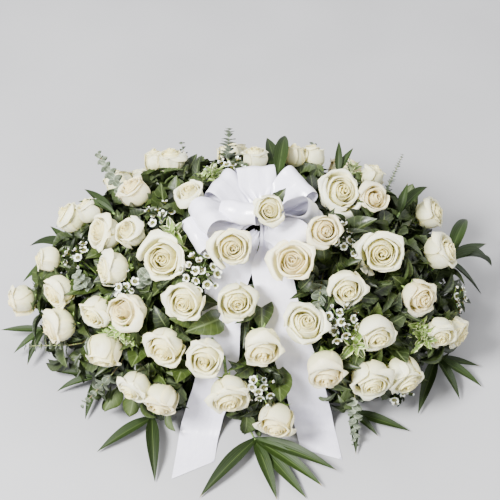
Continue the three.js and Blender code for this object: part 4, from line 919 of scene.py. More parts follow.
def scatter_tree():
    """Scatters leaves over a surface, and keeps those whose foot, middle and tip are clear of the rest."""
    tree, given = new_tree(
        "Scatter leaves", Leaves="Collection", Blocks="Object", Clearance="Float", Spacing="Float",
        Least="Vector", Most="Vector", First="Int", Last="Int", Rise="Float", Seed="Int")
    kept = add(tree, "GeometryNodeDistributePointsOnFaces", {
        "Mesh": given["Geometry"], "Distance Min": given["Spacing"], "Density Max": MOST_LEAVES,
        "Seed": given["Seed"]}, distribute_method="POISSON")
    face_turn = kept.node.outputs["Rotation"]
    draws = []
    for number, (kind, least, most) in enumerate((
            ("FLOAT", -0.5, 0.5), ("FLOAT", 0, math.tau), ("FLOAT", -0.35, 0.35), ("FLOAT", 0, 1),
            ("FLOAT", 0, 1), ("INT", given["First"], given["Last"])), start=1):
        seed = add(tree, MATH, (given["Seed"], number))
        draws.append(add(tree, RANDOM, {"Min": least, "Max": most, "Seed": seed}, data_type=kind))
    roll, spin, tilt, share, tint, kind = draws
    tilt = add(tree, MATH, (add(tree, MATH, (given["Rise"], tilt)), -1), operation="MULTIPLY")
    own = add(tree, TO_ROTATION, (add(tree, "ShaderNodeCombineXYZ", (roll, tilt, spin)),))
    turn = add(tree, ROTATE, (face_turn, own), rotation_space="LOCAL")
    size = add(tree, MIX, (share, given["Least"], given["Most"]), data_type="VECTOR")
    stored = {"leaf_turn": ("QUATERNION", turn), "leaf_size": ("FLOAT_VECTOR", size),
              "tint": ("FLOAT", tint), "kind": ("INT", kind)}
    for name, (kind, value) in stored.items():
        kept = add(tree, "GeometryNodeStoreNamedAttribute", {"Geometry": kept, "Name": name, "Value": value},
                   data_type=kind, domain="POINT")
    turn, size, _, kind = (add(tree, STORED, (name,), data_type=kind) for name, (kind, _) in stored.items())
    here = add(tree, "GeometryNodeInputPosition")
    blocks = add(tree, "GeometryNodeObjectInfo", (given["Blocks"],), out="Geometry")
    for reach in (0.1, 0.55, 0.95):
        ahead = add(tree, VECTOR, (size, (reach, 0, 0)), operation="MULTIPLY")
        there = add(tree, VECTOR, (here, add(tree, "FunctionNodeRotateVector", (ahead, turn))))
        near = add(tree, "GeometryNodeProximity", {"Geometry": blocks, "Sample Position": there},
                   out="Distance", target_element="POINTS")
        height = add(tree, "ShaderNodeSeparateXYZ", (there,), out="Z")
        blocked, low_down = (
            add(tree, "FunctionNodeCompare", pair, operation="LESS_THAN")
            for pair in ((near, given["Clearance"]), (height, LEAST_HEIGHT)))
        either = add(tree, "FunctionNodeBooleanMath", (blocked, low_down), operation="OR")
        kept = add(tree, "GeometryNodeDeleteGeometry", {"Geometry": kept, "Selection": either},
                   domain="POINT")
    return end_tree(tree, planted(tree, kept, given["Leaves"], kind, turn, size), given["Material"])


# Where things grow

def seats():
    """Every rose's node, place, axis, radius, height and opening, read from its solid."""
    found = []
    for node in ROSES:
        shape = bmesh.new()
        shape.from_mesh(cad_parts[node].data)
        bmesh.ops.remove_doubles(shape, verts=shape.verts, dist=1e-6)
        bmesh.ops.dissolve_limit(shape, angle_limit=0.004, verts=shape.verts, edges=shape.edges)
        for face in shape.faces:
            middle = face.calc_center_median()
            spans = [(v.co - middle).length for v in face.verts]
            if len(spans) != 5 or max(spans) > 1.03 * min(spans):
                continue
            axis, radius = -face.normal, sum(spans) / 5 / SEAT
            on_axis = []
            for v in shape.verts:
                rise = (v.co - middle).dot(axis)
                off = (v.co - middle - axis * rise).length
                if off < 0.03 * radius and 0.4 * radius < rise < 2 * radius:
                    on_axis.append(rise)
            if on_axis:
                tall = min(on_axis) / THROAT
                opening = min(1, max(0, (CLOSED - tall / radius) / FLATTER))
                found.append({"node": node, "at": middle / MM, "axis": axis, "radius": radius / MM,
                              "tall": tall / MM, "opening": opening})
        shape.free()
    if len(found) < LEAST_ROSES:
        raise RuntimeError(f"only {len(found)} rose seats were found")
    return found


def hub_foot(x):
    """Where a rose's or frond's stem leaves the foam: gathered towards the nearest hub."""
    hub_x = min(HUB_X, key=lambda hub: abs(hub - x))
    return Vector((hub_x + (x - hub_x) * HUB_SPREAD, 0.02 * x, HUB_Z))


def side_foot(node, x, y, z):
    """Where the stem of a sprig or a spray leaves the foam, on its node's side."""
    hub_x = SIDE_X[node.split("_")[-1]]
    return Vector((hub_x + (x - hub_x) * HUB_SPREAD, y, z))


def stem_line(foot, end, arrive, thick, steps=10):
    """A stem that leaves the foam upwards and arrives along a direction. thick: its radius at both ends."""
    far = (end - foot).length
    start = foot.lerp(end, 0.02)
    rise = (UP * 0.6 + (end - foot).normalized() * 0.4) * far * 0.4
    back = arrive * far * 0.35
    line = []
    for k in range(steps + 1):
        t = k / steps
        p = (start * (1 - t) ** 3 + (start + rise) * 3 * t * (1 - t) ** 2
             + (end - back) * 3 * t * t * (1 - t) + end * t ** 3)
        p.z = max(p.z, thick[0] + 0.5)
        line.append((p, thick[0] + (thick[1] - thick[0]) * t))
    return line


def stem_mesh(name, lines):
    """Lines of points with their thickness, for the tree that draws stems."""
    points, edges, radii = [], [], []
    for line in lines:
        start = len(points)
        points += [tuple(p * MM) for p, _ in line]
        radii += [radius * MM for _, radius in line]
        edges += [(k, k + 1) for k in range(start, start + len(line) - 1)]
    mesh = bpy.data.meshes.new(name)
    mesh.from_pydata(points, edges, [])
    store(mesh, "thick", radii)
    return mesh


def dome_mesh(share, bottom=14, around_it=64, rows=22):
    """The surface that the heads lie on, shrunk to a share, with a skirt that draws in down to a height."""
    skirt = 0.2  # the skirt's share of the rows
    points = []
    for r in range(rows + 1):
        lean = math.pi / 2 * max(0, r / rows - skirt) / (1 - skirt)
        drop = min(1, r / rows / skirt)
        z = DOME["skirt"] * drop + bottom * (1 - drop) + DOME["rise"] * share * math.sin(lean)
        spread = share * math.cos(lean) * (0.76 + 0.24 * drop) * MM
        for k in range(around_it):
            turn = math.tau * k / around_it
            deep = DOME["front"] if math.sin(turn) < 0 else DOME["back"]
            points.append((DOME["half"] * spread * math.cos(turn), deep * spread * math.sin(turn), z * MM))
    faces = []
    for r in range(rows):
        for k in range(around_it):
            a, b = r * around_it + k, r * around_it + (k + 1) % around_it
            faces.append((a, b, b + around_it, a + around_it))
    mesh = bpy.data.meshes.new("Dome")
    mesh.from_pydata(points, [], faces)
    weld(mesh, 1e-5)
    return mesh


def loop_points(tip, high, roll, rows):
    """The middle line of a bow loop with its width, and the direction across it."""
    reach = tip - KNOT
    along = reach.normalized()
    lift = outward(KNOT.lerp(tip, 0.5))
    lift = (lift - along * lift.dot(along)).normalized()
    lift.rotate(Quaternion(along, math.radians(roll)))
    line = []
    for k in range(rows):
        t = k / (rows - 1)
        far = math.sin(math.pi * t) ** 0.8
        drop = high / 2 * (0.4 + 0.6 * far * far)
        p = KNOT + along * 5.5 + reach * far - lift * drop * math.sin(math.tau * t)
        pinch = min(1, max(0, min(t, 1 - t) / 0.17))
        line.append((p, pinch * pinch * (3 - 2 * pinch)))
    return line, along.cross(lift)


def ribbon_mesh(name, grid, thick):
    """A ribbon over a grid of points in mm, with its flat size in metres as its UV map."""
    rows = np.asarray(grid)
    mesh = closed_sheet(name, rows * MM, thick)
    long = np.linalg.norm(np.diff(rows[:, rows.shape[1] // 2], axis=0), axis=1).sum() * MM
    corners = np.zeros(len(mesh.loops), dtype=np.int32)
    mesh.loops.foreach_get("vertex_index", corners)
    flat = []
    for key, size in (("across", HALF_RIBBON * MM), ("along", long)):
        values = np.zeros(len(mesh.vertices), dtype=np.float32)
        mesh.attributes[key].data.foreach_get("value", values)
        flat.append(values[corners] * size)
    mesh.uv_layers.new(name="UVMap").data.foreach_set("uv", np.stack(flat, axis=1).ravel())
    return mesh, long


def bow_loop(number, tip, high, roll, wide, thick, rows=57, columns=21):
    """A loop of the bow: flat and creased where it is open, gathered into pleats at the knot."""
    draw = random.Random(number)
    line, across = loop_points(tip, high, roll, rows)
    phases = [draw.uniform(0, math.tau) for _ in range(4)]
    grid = []
    for k, (p, pinch) in enumerate(line):
        t = k / (rows - 1)
        before, after = line[max(k - 1, 0)][0], line[min(k + 1, rows - 1)][0]
        over = (after - before).normalized().cross(across).normalized()
        half = (GATHERED + (wide - GATHERED) * pinch) / 2
        row = []
        for s in np.linspace(-1, 1, columns):
            fold = 4.2 * (1 - pinch) * math.cos(3.5 * math.pi * (s + 1) + phases[0])
            fold += 2.2 * (1 - 0.7 * pinch) * math.cos(2.2 * math.pi * s + phases[1] + t * 3)
            fold += 0.9 * pinch * math.cos(4 * s + 9 * t + phases[2])
            row.append(p + across * (s * half) + over * (fold - 1.5 * pinch * s * s))
        grid.append(row)
    return ribbon_mesh(f"loop {number}", grid, thick)


def tail_stations(name):
    """The points that a tail passes, the way it faces and its width there, and the slant of its end."""
    hung, lying, slant = TAILS[name]
    points = [on_shell(px, py, share) for px, py, share, _ in hung]
    points += [low(px, py, height) for px, py, height in lying]
    normals = [outward(p) for p in points[:len(hung)]] + [UP] * len(lying)
    widths = [wide for *_, wide in hung] + [2 * HALF_RIBBON] * len(lying)
    return points, normals, widths, slant


def ribbon_tail(name, wide, thick, rows=90, columns=13, steps=12):
    """A tail of the bow: gathered at the knot, then waved and creased down to its slanted end."""
    points, normals, widths, slant = tail_stations(name)
    path, leans = smooth_path(points, steps), smooth_path(normals, steps)
    spans = smooth_path([Vector((w, 0)) for w in widths], steps)
    lengths = np.concatenate([[0], np.cumsum([(b - a).length for a, b in zip(path, path[1:])])])
    total = lengths[-1]
    draw = random.Random(name)
    phases = [draw.uniform(0, math.tau) for _ in range(4)]
    last = len(path) - 1
    directions = [(path[min(k + 1, last)] - path[max(k - 1, 0)]).normalized() for k in range(last + 1)]
    grid = []
    for u in np.linspace(0, 1, rows):
        row = []
        for s in np.linspace(-1, 1, columns):
            at = u * (total + s * slant / 2 * max(0, u - 0.75) / 0.25 / max(u, 0.01))
            k = min(int(np.searchsorted(lengths, at, side="right")) - 1, last - 1)
            t = min(1, (at - lengths[k]) / (lengths[k + 1] - lengths[k]))
            p = path[k].lerp(path[k + 1], t) + directions[-1] * max(0, at - total)
            along = directions[k].lerp(directions[k + 1], t).normalized()
            across = along.cross(leans[k].lerp(leans[k + 1], t).normalized()).normalized()
            half = min(spans[k].lerp(spans[k + 1], t).x / 2, HALF_RIBBON) / (2 * HALF_RIBBON) * wide
            gather = max(0, 1 - half / 33)
            free = math.sin(math.pi * min(1, u * 1.02)) ** 0.5
            fold = 5 * gather * math.cos(3 * math.pi * (s + 1) + phases[0])
            fold += free * (
                5.5 * math.sin(u * 25 + s * 0.9 + phases[3]) + 2.6 * math.sin(2.2 * s + u * 9 + phases[1])
                + 1.6 * math.cos(u * 21 + s * 1.5 + phases[2]) + 2.5 * s * s)
            row.append(p + across * (s * half) + across.cross(along) * fold)
        grid.append(row)
    grid = np.asarray([[tuple(p) for p in row] for row in grid])
    grid[:, :, 2] = np.maximum(grid[:, :, 2], 2 * LOWEST / MM)
    return ribbon_mesh(name, grid, thick)


def kept_clear():
    """Points that leaves keep clear of: in and over every rose head, loop, ribbon tail, sprig and spray."""
    points = []
    for rose in seats():
        for rise in (0.35, 0.65, 0.95, 1.25):
            over = rose["at"] + rose["axis"] * (rose["tall"] * rise)
            points += [over + around(rose["axis"], math.tau * k / 6) * (rose["radius"] * 0.5)
                       for k in range(6)]
    for tip, high, roll in LOOPS:
        line, across = loop_points(tip, high, roll, 15)
        points += [p + across * side * share + outward(p) * over for p, share in line
                   for side in (-22, 0, 22) for over in (0, 25)]
    for name in TAILS:
        places, normals, widths, _ = tail_stations(name)
        for a, b, normal, wide in zip(places, places[1:], normals, widths):
            across = (b - a).cross(normal).normalized()
            for t in (0, 0.33, 0.67):
                points += [a.lerp(b, t) + across * side * wide + normal * over
                           for side in (-0.4, -0.13, 0.13, 0.4) for over in (-20, 0, 25, 50, 75)]
    for heart, tips in FRONDS:
        points += [heart.lerp(tip, t) + UP * over for tip in tips for t in (0.4, 0.6, 0.8, 1)
                   for over in (0, 20, 40)]
    for _, px, py, share, _ in WAX_SPRAYS:
        middle = on_shell(px, py, share)
        points += [middle + outward(middle) * over for over in (-10, 10, 30)]
    for px, py, share in WHORLS:
        points += [on_shell(px, py, share + over) for over in (0, 0.06)]
    for _, base, tip, *_ in SPRIGS:
        points += [base.lerp(tip, t) + outward(tip) * over for t in (0, 0.5, 1) for over in (0, 20)]
    return points


def is_clear(points, at, axis, long, reach):
    """Whether a leaf's middle and tip are clear of the points."""
    places = [np.array(at + axis * (long * share)) for share in (0.6, 1)]
    return all(np.min(np.linalg.norm(points - place, axis=1)) >= reach for place in places)


def rose_leaf_spots(sizes, tries=10, reach=16):
    """Rose leaflets below each head, where they find room."""
    points = np.array([tuple(p) for p in kept_clear()])
    draw = random.Random(21)
    spots = []
    for rose in seats():
        for k in range(tries):
            out = around(rose["axis"], GOLDEN_TURN * k + draw.random())
            at = rose["at"] - rose["axis"] * draw.uniform(6, 34)
            along = (out + rose["axis"] * draw.uniform(0.2, 1.1)).normalized()
            long = sizes.rose_leaf / MM * draw.uniform(0.8, 1.15)
            if is_clear(points, at, along, long, reach):
                spots.append(leaf_spot(at, along, square_to(along, rose["axis"]), long, long * 0.6,
                                       draw.choice(ROSE_LEAF), draw.random()))
    return spots


def broad_leaf_spots(length=84, forward=31):
    """Broad leaves in view, each by where its tip shows. forward: how far the tip stands off the dome."""
    draw = random.Random(22)
    spots = []
    for px, py, share, heading in BROAD_LEAVES:
        tip = on_shell(px, py, share) + facing(70, heading) * forward
        along = (facing(60, heading) + outward(tip) * 0.35).normalized()
        long = length * draw.uniform(0.95, 1.05)
        spots.append(leaf_spot(tip - along * long, along, outward(tip), long, long * 0.5, draw.choice(BROAD),
                               draw.uniform(0.3, 1)))
    return spots


def skirt_leaf_spots():
    """Large leaves low round the back, each from the nearest rose stem out to the dome."""
    draw = random.Random(23)
    stems = [rose["at"] - rose["axis"] * 30 for rose in seats()]
    least, most = SKIRT_LEAVES["long"]
    spots = []
    for turn in SKIRT_LEAVES["turns"]:
        for height in SKIRT_LEAVES["heights"]:
            rise = max(0, height - DOME["skirt"]) / DOME["rise"]
            spread = SKIRT_LEAVES["share"] * math.sqrt(1 - rise ** 2)
            angle = math.radians(turn)
            x, y = DOME["half"] * math.cos(angle) * spread, DOME["back"] * math.sin(angle) * spread
            tip = Vector((x, y, height))
            reach = tip - min(stems, key=lambda p: (p - tip).length)
            long = min(most, max(least, reach.length))
            along = (reach.normalized() + outward(tip) * 0.3).normalized()
            spots.append(leaf_spot(tip - along * long, along, outward(tip) + UP * 0.4, long,
                                   SKIRT_LEAVES["wide"], draw.randrange(3), draw.uniform(0.3, 1)))
    return spots


def palm_spots(sizes):
    """Blades to every tip of a frond, and at the back a narrower one between each two."""
    draw = random.Random(31)
    spots = []
    for heart, tips in FRONDS:
        aims = [(tip, 1.0) for tip in tips]
        for a, b in zip(tips, tips[1:]) if heart.y > BACK_FRONDS else ():
            middle = a.lerp(b, draw.uniform(0.4, 0.6))
            far = ((a - heart).length + (b - heart).length) / 2 * draw.uniform(0.84, 0.98)
            between = heart + (middle - heart).normalized() * far
            aims.append((between + UP * draw.uniform(4, 16), 0.85))
        for tip, share in aims:
            reach = tip - heart
            long = reach.length * 1.04
            broad = sizes.palm_width / MM * share * min(1.1, max(0.6, long / 130))
            spots.append(leaf_spot(heart - reach.normalized() * 4, reach, UP, long, broad, draw.randrange(3),
                                   draw.random()))
    return spots


def whorl_spots(leaves=11, smaller=2):
    """Pittosporum: leaves that rise in a whorl round the end of each stem, and smaller whorls beside it."""
    draw = random.Random(41)
    spots, lines = [], []
    for px, py, share in WHORLS:
        middle = on_shell(px, py, share)
        axis = outward(middle)
        tops = [(middle, 1.0)]
        for _ in range(smaller):
            shift = around(axis, draw.uniform(0, math.tau)) * draw.uniform(16, 24)
            tops.append((middle + shift - axis * draw.uniform(8, 20), 0.8))
        for top, scale in tops:
            lines.append(stem_line(WHORL_FOOT, top, axis, (1.2, 1.3)))
            for k in range(leaves):
                out = around(axis, GOLDEN_TURN * k + draw.uniform(-0.3, 0.3))
                along = (out + axis * (0.15 + 0.12 * k)).normalized()
                long = scale * (38 - 1.9 * k) * draw.uniform(0.9, 1.1)
                spots.append(leaf_spot(top - axis * (16 - 1.7 * k) * scale, along, square_to(along, axis),
                                       long, long * 0.44, draw.randrange(3), draw.random()))
    return spots, lines


def sprig_spots(node, widest=19.5):
    """Eucalyptus: round leaves in crossed pairs, smaller towards the tip."""
    draw = random.Random(51)
    spots, lines = [], []
    for name, base, tip, leaves, size in SPRIGS:
        if name != node:
            continue
        way = (tip - base).normalized()
        line = stem_line(side_foot(node, base.x, 32, 62), base, way, (1.4, 1.2))
        lines.append(line + [(base.lerp(tip, k / 5), 1.2 - 0.14 * k) for k in range(1, 6)])
        count = round(leaves * 1.5 / size)
        for k in range(count + 1):
            share = (k + 0.2) / count
            grown = widest * size * (1 - 0.5 * share) * draw.uniform(0.88, 1.1)
            for half in (0, math.pi):
                out = around(way, k * math.pi / 2 + half + draw.uniform(-0.3, 0.3))
                along = (out + way * draw.uniform(0.25, 0.8)).normalized()
                spots.append(leaf_spot(base.lerp(tip, share), along, square_to(along, way), grown,
                                       grown * 0.95, draw.randrange(2), draw.random()))
    return spots, lines


def wax_spots(node, sizes):
    """Wax flowers: open florets and buds on pedicels that fork, with needle leaves below."""
    draw = random.Random(node)
    florets, needles, lines = [], [], []
    for name, px, py, share, count in WAX_SPRAYS:
        if name != node:
            continue
        middle = on_shell(px, py, share)
        axis = outward(middle)
        fork = middle - axis * 34
        lines.append(stem_line(side_foot(node, middle.x, -30, 60), middle - axis * 8, axis, (1.3, 1.1)))
        for k in range(round(count * 2.4) + 2):
            out = around(axis, GOLDEN_TURN * k)
            at = middle + out * (9.5 * math.sqrt(k)) + axis * draw.uniform(-9, 6)
            face = (at - middle + axis * 34 + Vector([draw.uniform(-8, 8) for _ in "xyz"])).normalized()
            kind = 0 if draw.random() < OPEN_FLORETS else draw.choice((1, 2))
            grown = sizes.floret / MM * draw.uniform(0.88, 1.12) * (1, 0.8, 0.55)[kind]
            spin = Quaternion(face, draw.uniform(0, math.tau))
            florets.append(spot(at, spin @ upright(face), (grown,) * 3, kind, draw.random()))
            root = fork.lerp(middle, draw.uniform(0.1, 0.75))
            end = at - face * grown * 0.4
            lines.append([(root, 0.8), (root.lerp(end, 0.5) + axis * 3, 0.7), (end, 0.7)])
            for _ in range(2):
                way = (out + axis * draw.uniform(0.3, 1.2)).normalized()
                long = draw.uniform(14, 24)
                needles.append(leaf_spot(root.lerp(end, draw.uniform(0.1, 0.8)), way, axis, long, 2.6, NEEDLE,
                                         draw.random()))
    return florets, needles, lines


# Operators: each makes one piece, or one kind of piece, from the solids it stands for

class SprayOperator:
    bl_options = {"REGISTER", "UNDO"}


class SPRAY_OT_roses(SprayOperator, bpy.types.Operator):
    """Grow every rose head from overlapping petals on its own seat"""
    bl_idname = "spray.roses"
    bl_label = "Roses"

    def execute(self, context):
        sizes = context.scene.spray_sizes
        material = petal_material(context.scene.spray_colours)
        petals, tree = petal_kinds(), bloom_tree()
        draw = random.Random(3)
        by_node = {}
        for rose in seats():
            nearest = min(OPENINGS, key=lambda opening: abs(opening - rose["opening"]))
            kind = OPENINGS.index(nearest) * BUDS + draw.randrange(BUDS)
            grown, high = rose["radius"] * 0.93, rose["tall"] / rose_tall(nearest)
            by_node.setdefault(rose["node"], []).append(spot(
                rose["at"], upright(rose["axis"]), (grown, grown, high), kind, draw.random(),
                draw.uniform(0, math.tau)))
        for node, spots in by_node.items():
            grow(node.replace("rose", "rose_head"), seedlings(node, spots), tree, "rose", node,
                 petals=petals, material=material, count=PETALS, ruffle=sizes.petal_ruffle)
        return {"FINISHED"}


class SPRAY_OT_stems(SprayOperator, bpy.types.Operator):
    """Draw the rose and palm stems out of the foam, with hips and sepals under the roses"""
    bl_idname = "spray.stems"
    bl_label = "Stems and sepals"

    def execute(self, context):
        colours = context.scene.spray_colours
        draw = random.Random(8)
        lines, calyxes = [], []
        for rose in seats():
            seat = rose["radius"] * SEAT
            end = rose["at"] - rose["axis"] * (seat * 1.3)
            lines.append(stem_line(hub_foot(end.x), end, rose["axis"], (1.9, 2.7)))
            turn = Quaternion(rose["axis"], draw.uniform(0, math.tau)) @ upright(rose["axis"])
            calyxes.append(spot(rose["at"], turn, (seat,) * 3, 0, draw.random()))
        for heart, tips in FRONDS:
            way = (sum(tips, Vector()) / len(tips) - heart).normalized()
            lines.append(stem_line(hub_foot(heart.x), heart, way, (1.9, 1.8)))
        grow("Stems", stem_mesh("Stems", lines), stem_tree(), "greens", *GREENS, sides=8,
             material=stem_material(colours, "Green stem, streaked", "#3f6b2e"))
        grow("Sepals", seedlings("Sepals", calyxes), place_tree(), "greens",
             shapes=shape_set("Calyx", [calyx_mesh()]),
             material=stem_material(colours, "Sepal, pale green", "#6f8f45"))
        return {"FINISHED"}


class SPRAY_OT_leaves(SprayOperator, bpy.types.Operator):
    """Place the broad and rose leaves, and fill the dome with leaves that keep clear of the flowers"""
    bl_idname = "spray.leaves"
    bl_label = "Leaves"

    def execute(self, context):
        sizes, colours = context.scene.spray_sizes, context.scene.spray_colours
        broad = leaf_material("Broad leaf, waxy", colours.leaf, colours.leaf_dark, rough=0.33)
        small = leaf_material("Rose leaf", colours.leaf, colours.leaf_dark, rough=0.45)
        shapes, placing = leaf_kinds(), place_tree()
        grow("Broad leaves", seedlings("Broad", broad_leaf_spots() + skirt_leaf_spots()), placing, "greens",
             shapes=shapes, material=broad)
        grow("Rose leaves", seedlings("Rose", rose_leaf_spots(sizes)), placing, "greens", shapes=shapes,
             material=small)
        blocks = bpy.data.objects.new("Kept clear", bpy.data.meshes.new("Kept clear"))
        blocks.data.from_pydata([tuple(p * MM) for p in kept_clear()], [], [])
        tree, light = scatter_tree(), leaf_kinds(columns=3)
        for (name, key, wide, shares, spacing, rise, clear), material, kinds in zip(
                FILLINGS, (broad, small, small), (BROAD, ROSE_LEAF, SLIM)):
            long = getattr(sizes, key)
            surfaces = joined(name, [dome_mesh(share) for share in shares])
            least, most = (tuple(x * share for x in (long, long * wide, long)) for share in (0.75, 1.15))
            grow(name, surfaces, tree, "greens", leaves=light, material=material, blocks=blocks,
                 clearance=sizes.leaf_clearance * clear, spacing=spacing * MM, least=least, most=most,
                 first=kinds[0], last=kinds[-1], rise=rise, seed=len(name))
        return {"FINISHED"}


class SPRAY_OT_palms(SprayOperator, bpy.types.Operator):
    """Spread the palm blades from the heart of each frond"""
    bl_idname = "spray.palms"
    bl_label = "Palm fronds"

    def execute(self, context):
        spots = palm_spots(context.scene.spray_sizes)
        grow("Palm fronds", seedlings("Palm", spots), place_tree(), "greens", shapes=palm_kinds(),
             material=palm_material(context.scene.spray_colours))
        return {"FINISHED"}


class SPRAY_OT_pittosporum(SprayOperator, bpy.types.Operator):
    """Whorls of cream-edged pittosporum leaves on their stems"""
    bl_idname = "spray.pittosporum"
    bl_label = "Pittosporum"

    def execute(self, context):
        colours = context.scene.spray_colours
        spots, lines = whorl_spots()
        shapes = shape_set("Pittosporum leaf", [
            leaf_mesh("ovate", wave=wave, fold=0.1, droop=droop)
            for wave, droop in ((0.05, 0.1), (0.07, 0.3), (0.04, -0.05))])
        grow("Pittosporum leaves", seedlings("Pittosporum", spots), place_tree(), "pittosporum",
             "pittosporum", shapes=shapes, material=variegated_material(colours))
        grow("Pittosporum stems", stem_mesh("Pittosporum stems", lines), stem_tree(), "pittosporum", sides=6,
             material=stem_material(colours, "Pittosporum stem", "#5a5b3a"))
        return {"FINISHED"}


class SPRAY_OT_eucalyptus(SprayOperator, bpy.types.Operator):
    """Sprigs of round silver eucalyptus leaves"""
    bl_idname = "spray.eucalyptus"
    bl_label = "Eucalyptus"

    def execute(self, context):
        colours = context.scene.spray_colours
        leaf, stem = silver_material(colours), stem_material(colours, "Eucalyptus stem", "#7a5f4a")
        shapes = shape_set("Eucalyptus leaf", [
            leaf_mesh("round", fold=0.12, droop=droop, thick=0.02) for droop in (0.15, 0.35)])
        placing, drawing = place_tree(), stem_tree()
        for node in ("eucalyptus_left", "eucalyptus_right"):
            spots, lines = sprig_spots(node)
            grow(node + "_leaves", seedlings(node, spots), placing, "eucalyptus", node, shapes=shapes,
                 material=leaf)
            grow(node + "_stems", stem_mesh(node, lines), drawing, "eucalyptus", sides=6, material=stem)
        return {"FINISHED"}


class SPRAY_OT_wax_flowers(SprayOperator, bpy.types.Operator):
    """Sprays of wax flowers: florets, buds, pedicels and needle leaves"""
    bl_idname = "spray.wax_flowers"
    bl_label = "Wax flowers"

    def execute(self, context):
        sizes, colours = context.scene.spray_sizes, context.scene.spray_colours
        petal, stem = wax_material(colours), stem_material(colours, "Wax flower stem", "#5c7a3a")
        needle = leaf_material("Needle leaf", colours.leaf, colours.leaf_dark)
        shapes = shape_set("Floret", [floret_mesh(1.0), floret_mesh(0.55), floret_mesh(0.0)])
        leaves, placing, drawing = leaf_kinds(), place_tree(), stem_tree()
        for node in ("wax_flowers_left", "wax_flowers_middle", "wax_flowers_right"):
            florets, needles, lines = wax_spots(node, sizes)
            grow(node + "_florets", seedlings(node, florets), placing, "wax_flower", node, shapes=shapes,
                 material=petal)
            grow(node + "_stems", stem_mesh(node, lines), drawing, "wax_flower", sides=5, material=stem)
            grow(node + "_needles", seedlings(node, needles), placing, "wax_flower", shapes=leaves,
                 material=needle)
        return {"FINISHED"}


class SPRAY_OT_bow(SprayOperator, bpy.types.Operator):
    """Fold the satin bow: puffed loops with pleats that run into the knot"""
    bl_idname = "spray.bow"
    bl_label = "Satin bow"

    def execute(self, context):
        sizes = context.scene.spray_sizes
        satin = satin_material(context.scene.spray_colours)
        loops = [bow_loop(k, *plan, sizes.ribbon / MM, sizes.ribbon_thickness)
                 for k, plan in enumerate(LOOPS)]
        bow = put("Satin bow", joined("Satin bow", [mesh for mesh, _ in loops]), satin)
        finish_piece(bow, "satin", "bow_loops")
        turn = upright(outward(KNOT)).to_matrix().to_4x4()
        place = Matrix.Translation(KNOT * MM) @ turn @ Matrix.Scale(MM, 4)
        knot = put("Bow knot", moved(lathe("Knot", KNOT_RINGS, 24), place), satin)
        finish_piece(knot, "satin")
        return {"FINISHED"}


class SPRAY_OT_tails(SprayOperator, bpy.types.Operator):
    """Hang the two ribbon tails from the knot over the front, with slanted ends"""
    bl_idname = "spray.tails"
    bl_label = "Ribbon tails"

    def execute(self, context):
        sizes, colours = context.scene.spray_sizes, context.scene.spray_colours
        satin = bpy.data.materials.get("Satin ribbon, woven") or satin_material(colours)
        for name in TAILS:
            mesh, long = ribbon_tail(name, sizes.ribbon / MM, sizes.ribbon_thickness)
            tail = finish_piece(put(name.replace("ribbon", "satin"), mesh, satin), "satin", name)
        return {"FINISHED"}


class SPRAY_OT_base(SprayOperator, bpy.types.Operator):
    """Finish the foam, the saddle tray and the bow's pick, whose solids stay in view"""
    bl_idname = "spray.base"
    bl_label = "Foam, tray and pick"

    def execute(self, context):
        colours = context.scene.spray_colours
        for node, material in (
                ("foam_brick", foam_material(colours)), ("saddle_tray", tray_material(colours)),
                ("bow_pick", stem_material(colours, "Wooden pick, green dyed", "#4e6b35"))):
            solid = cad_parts[node].data
            solid.materials.clear()
            solid.materials.append(material)
        return {"FINISHED"}


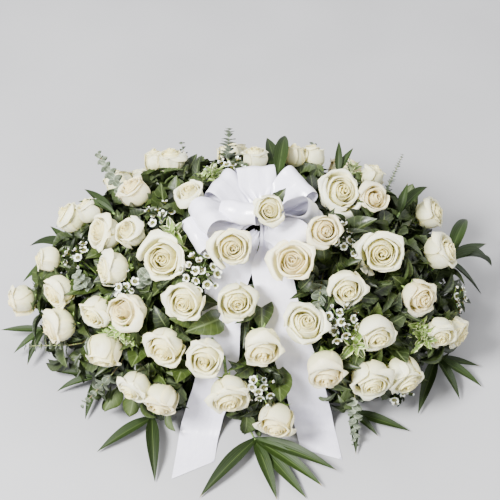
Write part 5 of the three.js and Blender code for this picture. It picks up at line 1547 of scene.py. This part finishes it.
class SPRAY_OT_stage(bpy.types.Operator):
    """Set the pale floor, the soft lights and the camera at the photo's angle"""
    bl_idname = "spray.stage"
    bl_label = "Stage"

    def execute(self, context):
        material, tree, inputs, place = surface("Studio floor, matte", {
            "Roughness": 0.9, "Specular IOR Level": 0.2})
        paper = add(tree, NOISE, {"Vector": place, "Scale": per(330), "Detail": 2})
        shade = layered(tree, linear("#a3a3a5"), (linear("#a9a9ab"), paper, 0.3, 0.7))
        tree.links.new(shade, inputs["Base Color"])
        mesh = bpy.data.meshes.new("Studio floor")
        mesh.from_pydata([(x * FLOOR, y * FLOOR, 0) for x, y in ((-1, -1), (1, -1), (1, 1), (-1, 1))], [],
                         [(0, 1, 2, 3)])
        put("Studio floor", mesh, material)
        world = bpy.data.worlds.new("Soft studio")
        world.use_nodes = True
        sky = world.node_tree.nodes["Background"].inputs
        sky["Color"].default_value = (0.98, 0.98, 1.0, 1)
        sky["Strength"].default_value = 0.93
        context.scene.world = world
        for name, place, size, power in LIGHTS:
            light = bpy.data.lights.new(name, "AREA")
            light.size, light.energy = size, power
            lamp = bpy.data.objects.new(name, light)
            lamp.location = place
            lamp.rotation_euler = (AIM * MM - lamp.location).to_track_quat("-Z", "Y").to_euler()
            context.scene.collection.objects.link(lamp)
        camera = bpy.data.cameras.new("Photo camera")
        camera.lens, camera.sensor_width, camera.shift_x = LENS
        eye = bpy.data.objects.new("Photo camera", camera)
        eye.location = EYE * MM
        eye.rotation_euler = Euler((math.pi / 2 - TILT, 0, 0))
        context.scene.collection.objects.link(eye)
        context.scene.camera = eye
        return {"FINISHED"}


class SPRAY_PT_panel(bpy.types.Panel):
    """Buttons for every piece of the spray"""
    bl_label = "Casket spray"
    bl_idname = "SPRAY_PT_panel"
    bl_space_type = "VIEW_3D"
    bl_region_type = "UI"
    bl_category = "Spray"

    def draw(self, context):
        for operator in OPERATORS:
            self.layout.operator(operator.bl_idname)
        for group in (context.scene.spray_sizes, context.scene.spray_colours):
            for key in group.__annotations__:
                self.layout.prop(group, key)


OPERATORS = (SPRAY_OT_roses, SPRAY_OT_stems, SPRAY_OT_leaves, SPRAY_OT_palms, SPRAY_OT_pittosporum,
             SPRAY_OT_eucalyptus, SPRAY_OT_wax_flowers, SPRAY_OT_bow, SPRAY_OT_tails, SPRAY_OT_base,
             SPRAY_OT_stage)
CLASSES = (SprayColours, SpraySizes) + OPERATORS + (SPRAY_PT_panel,)


def register():
    for kind in CLASSES:
        bpy.utils.register_class(kind)
    bpy.types.Scene.spray_sizes = bpy.props.PointerProperty(type=SpraySizes)
    bpy.types.Scene.spray_colours = bpy.props.PointerProperty(type=SprayColours)


def unregister():
    del bpy.types.Scene.spray_sizes
    del bpy.types.Scene.spray_colours
    for kind in reversed(CLASSES):
        bpy.utils.unregister_class(kind)


def main():
    register()
    bpy.ops.spray.roses()
    bpy.ops.spray.stems()
    bpy.ops.spray.leaves()
    bpy.ops.spray.palms()
    bpy.ops.spray.pittosporum()
    bpy.ops.spray.eucalyptus()
    bpy.ops.spray.wax_flowers()
    bpy.ops.spray.bow()
    bpy.ops.spray.tails()
    bpy.ops.spray.base()
    bpy.ops.spray.stage()


if __name__ == "__main__":
    main()
